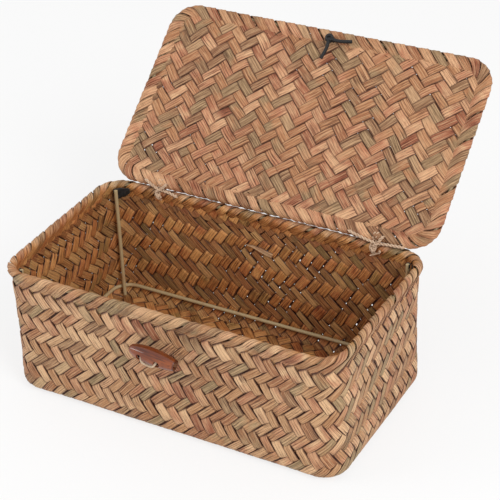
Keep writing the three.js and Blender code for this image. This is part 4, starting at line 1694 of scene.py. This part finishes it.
class WOVENBOX_OT_toggle(bpy.types.Operator):
    """Turn the wooden toggle, bore its two holes and sew it on with cotton thread"""

    bl_idname = "woven_box.toggle"
    bl_label = "Toggle"

    length = 37.0 * MM
    diameter = 12.2 * MM
    tip_diameter = 4.8 * MM
    butt_diameter = 8.0 * MM
    nose = 2.6 * MM
    bevel = 0.7 * MM
    swell_power = 0.85
    tilt = math.radians(6.6)
    roll = math.radians(9)
    hole_places = (-7.6 * MM, 6.4 * MM)
    hole_radius = 1.9 * MM
    hole_flare = 0.4 * MM
    # Depth under the widest girth at which a hole starts to flare
    flare_depth = 2.4 * MM
    crisp_angle = math.radians(40)
    thread = 1.8 * MM
    # How far the thread runs off the holes' middles, and how far below the toggle's axis it enters the wall
    thread_shift = 1.0 * MM
    stem_drop = 2.0 * MM
    knot_size = 0.6 * MM
    knot_inset = 2.5 * MM
    # Thread from hole to hole: share of the way, degrees below straight ahead, millimetres off the wood
    thread_bar = ((0.2, 36, 0.2), (0.5, 54, 0.6), (0.8, 36, 0.2))

    def execute(self, context):
        low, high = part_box("toggle_button")
        stem = joints["toggle_turn"]["pos_m"]
        self.middle = Vector((stem[0], (low.y + high.y) / 2, stem[2]))
        self.place = Matrix.Translation(self.middle) @ Matrix.Rotation(self.tilt, 4, "Y")
        self.turn_spindle()
        self.sew_on()
        return {"FINISHED"}

    def stations(self):
        """Places and radii from the round tip to the blunt butt."""
        half, steps = self.length / 2, 44
        tip, butt, widest = self.tip_diameter / 2, self.butt_diameter / 2, self.diameter / 2
        made = [(-half, 0.0)]
        for step in range(1, steps + 1):
            along = -math.cos(math.pi * step / steps)
            place = along * (half - self.bevel / 2)
            straight = tip + (butt - tip) * (along + 1) / 2
            radius = straight + (widest - straight) * max(0.0, 1 - along ** 2) ** self.swell_power
            round_off = min(1.0, (place + half) / self.nose)
            made.append((place, radius * math.sqrt(1 - (1 - round_off) ** 2)))
        made += [(half, butt - self.bevel / 2), (half, butt / 2), (half - 0.1 * MM, 0.0)]
        return made

    def on_hole(self, x, reach):
        """A point on the line of a hole, in the toggle's own frame: positive reach is towards the wall."""
        return self.around(x, self.roll, -reach)

    def around(self, x, drop, reach):
        """A point out from the toggle's axis, at an angle below straight ahead."""
        return Vector((x, -reach * math.cos(drop), -reach * math.sin(drop)))

    def turn_spindle(self):
        material = wood_material(self.middle, self.tilt, self.length / 2)
        spindle = mesh_object("toggle_button_spindle", *lathe(self.stations(), 48), material)
        rim, flare, reach = self.hole_radius, self.hole_flare, self.diameter
        mouth = self.diameter / 2 - self.flare_depth
        bore = [
            (-reach, 0.0), (-reach, rim + 2 * flare), (-mouth - flare, rim + flare), (-mouth, rim),
            (mouth, rim), (mouth + flare, rim + flare), (reach, rim + 2 * flare), (reach, 0.0),
        ]
        ahead = self.on_hole(0, 1) - self.on_hole(0, 0)
        turn = Vector((1, 0, 0)).rotation_difference(ahead).to_matrix().to_4x4()
        for x in self.hole_places:
            drill = mesh_object("toggle_drill", *lathe(bore, 20), material)
            drill.data.transform(Matrix.Translation(self.on_hole(x, 0)) @ turn)
            cut = spindle.modifiers.new("bore", "BOOLEAN")
            cut.operation = "DIFFERENCE"
            cut.solver = "EXACT"
            cut.object = drill
            settle(spindle)
            drop(drill)
        self.mark_bore_shade(spindle.data, mouth + flare)
        spindle.data.transform(self.place)
        spindle.data.shade_smooth()
        spindle.data.set_sharp_from_angle(angle=self.crisp_angle)
        dress(spindle, "toggle", "toggle_wood", "toggle_button")

    def mark_bore_shade(self, mesh, reach):
        """Keeps which points lie in the holes, where the finish paints their shade."""
        furthest_hole = 1.5 * max(abs(x) for x in self.hole_places)
        in_bore_shade = [
            float(abs(vertex.co.x) < furthest_hole and math.hypot(vertex.co.y, vertex.co.z) < reach)
            for vertex in mesh.vertices
        ]
        mesh.attributes.new("bore", "FLOAT", "POINT").data.foreach_set("value", in_bore_shade)

    def sew_on(self):
        inner_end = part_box("toggle_thread")[1].y - self.middle.y
        half = self.diameter / 2
        surface = half - 1.0 * MM
        knot = Vector((0, inner_end - self.knot_inset, -self.stem_drop))
        legs = []
        for hole in self.hole_places:
            side = math.copysign(0.5 * MM, hole)
            thread_line = hole - math.copysign(self.thread_shift, hole)
            legs.append([
                knot,
                Vector((side, knot.y - 3 * MM, -self.stem_drop)),
                Vector((side, half + 1.6 * MM, -self.stem_drop)),
                Vector((hole * 0.6, half + 0.6 * MM, -self.stem_drop)),
                self.on_hole(thread_line, surface + 0.2 * MM),
                self.on_hole(thread_line, 0),
                self.on_hole(thread_line, -surface + 1.4 * MM),
            ])
        first, last = self.hole_places
        bar = [
            self.around(first + (last - first) * share, math.radians(drop), half + rise * MM)
            for share, drop, rise in self.thread_bar
        ]
        stitch = smooth_path(legs[0] + bar + list(reversed(legs[1])))
        facing = Matrix.Translation(knot) @ Matrix.Rotation(math.radians(90), 4, "X")
        strips = [{"points": stitch}, {"points": trefoil(facing, self.knot_size), "closed": True}]
        colours = settings().colours
        material = twine_material("cotton_thread_finish", colours.thread, colours.thread_dark)
        values = cord_values(material, self.thread, strands=3, lay_length=4.5 * MM, sides=9, step=0.5 * MM)
        piece = lay_cord("toggle_thread_stitch", strips, values, self.place)
        dress(piece, "toggle", "cotton_thread", "toggle_thread")


class WOVENBOX_OT_loose_end(bpy.types.Operator):
    """Let one strip end stand off the inside of the rear wall"""

    bl_idname = "woven_box.loose_end"
    bl_label = "Loose End"

    # From its tip to where it goes under, as steps along X and Z and depth into the basket, in millimetres
    route = ((-12.7, 77.2, 4.2), (-7.0, 76.4, 3.4), (-1.0, 74.2, 2.8), (4.0, 72.0, 2.4), (8.6, 70.2, 1.0))
    girth = [0.12, 0.35, 0.55, 0.62, 0.62]
    tone = 0.8

    def execute(self, context):
        layout = WallLayout()
        rear_start = next(place for place, point in enumerate(layout.outline) if point.y == layout.rear_y)
        before = path_length(layout.outline[:rear_start + 1])
        rear_x = layout.outline[rear_start].x
        points = [
            (before + rear_x - x * MM, layout.rise_at(z * MM), -depth * MM) for x, z, depth in self.route
        ]
        values = weave_values(
            sedge_material("loose_end_sedge"),
            Width=layout.pitch / math.hypot(1.0, layout.falling_run),
            Swell=0.0,
            Step=1.0 * MM,
        )
        strip = {"points": points, "girth": self.girth, "tone": self.tone, "lean": -1.0}
        piece = wrap_plait("loose_strip_end", [strip], layout.outline, layout.profile, values)
        dress(piece, "basket", "sedge_basket")
        return {"FINISHED"}


class WOVENBOX_PT_panel(bpy.types.Panel):
    """Sidebar list of the pieces"""

    bl_label = "Woven Box"
    bl_idname = "WOVENBOX_PT_panel"
    bl_space_type = "VIEW_3D"
    bl_region_type = "UI"
    bl_category = "Woven Box"

    def draw(self, context):
        for operator in OPERATORS:
            self.layout.operator(operator.bl_idname)


GROUPS = (WovenBoxWeave, WovenBoxColours, WovenBoxStage, WovenBoxSettings)
OPERATORS = (
    WOVENBOX_OT_stage,
    WOVENBOX_OT_elastic,
    WOVENBOX_OT_walls,
    WOVENBOX_OT_floor,
    WOVENBOX_OT_rim,
    WOVENBOX_OT_lid,
    WOVENBOX_OT_hem,
    WOVENBOX_OT_wires,
    WOVENBOX_OT_tapes,
    WOVENBOX_OT_hinges,
    WOVENBOX_OT_toggle,
    WOVENBOX_OT_loose_end,
)


def register():
    for made in (*GROUPS, *OPERATORS, WOVENBOX_PT_panel):
        bpy.utils.register_class(made)
    bpy.types.Scene.woven_box = bpy.props.PointerProperty(type=WovenBoxSettings)


def unregister():
    del bpy.types.Scene.woven_box
    for made in reversed((*GROUPS, *OPERATORS, WOVENBOX_PT_panel)):
        bpy.utils.unregister_class(made)


def main():
    register()
    for operator in OPERATORS:
        family, action = operator.bl_idname.split(".")
        getattr(getattr(bpy.ops, family), action)()


if __name__ == "__main__":
    main()
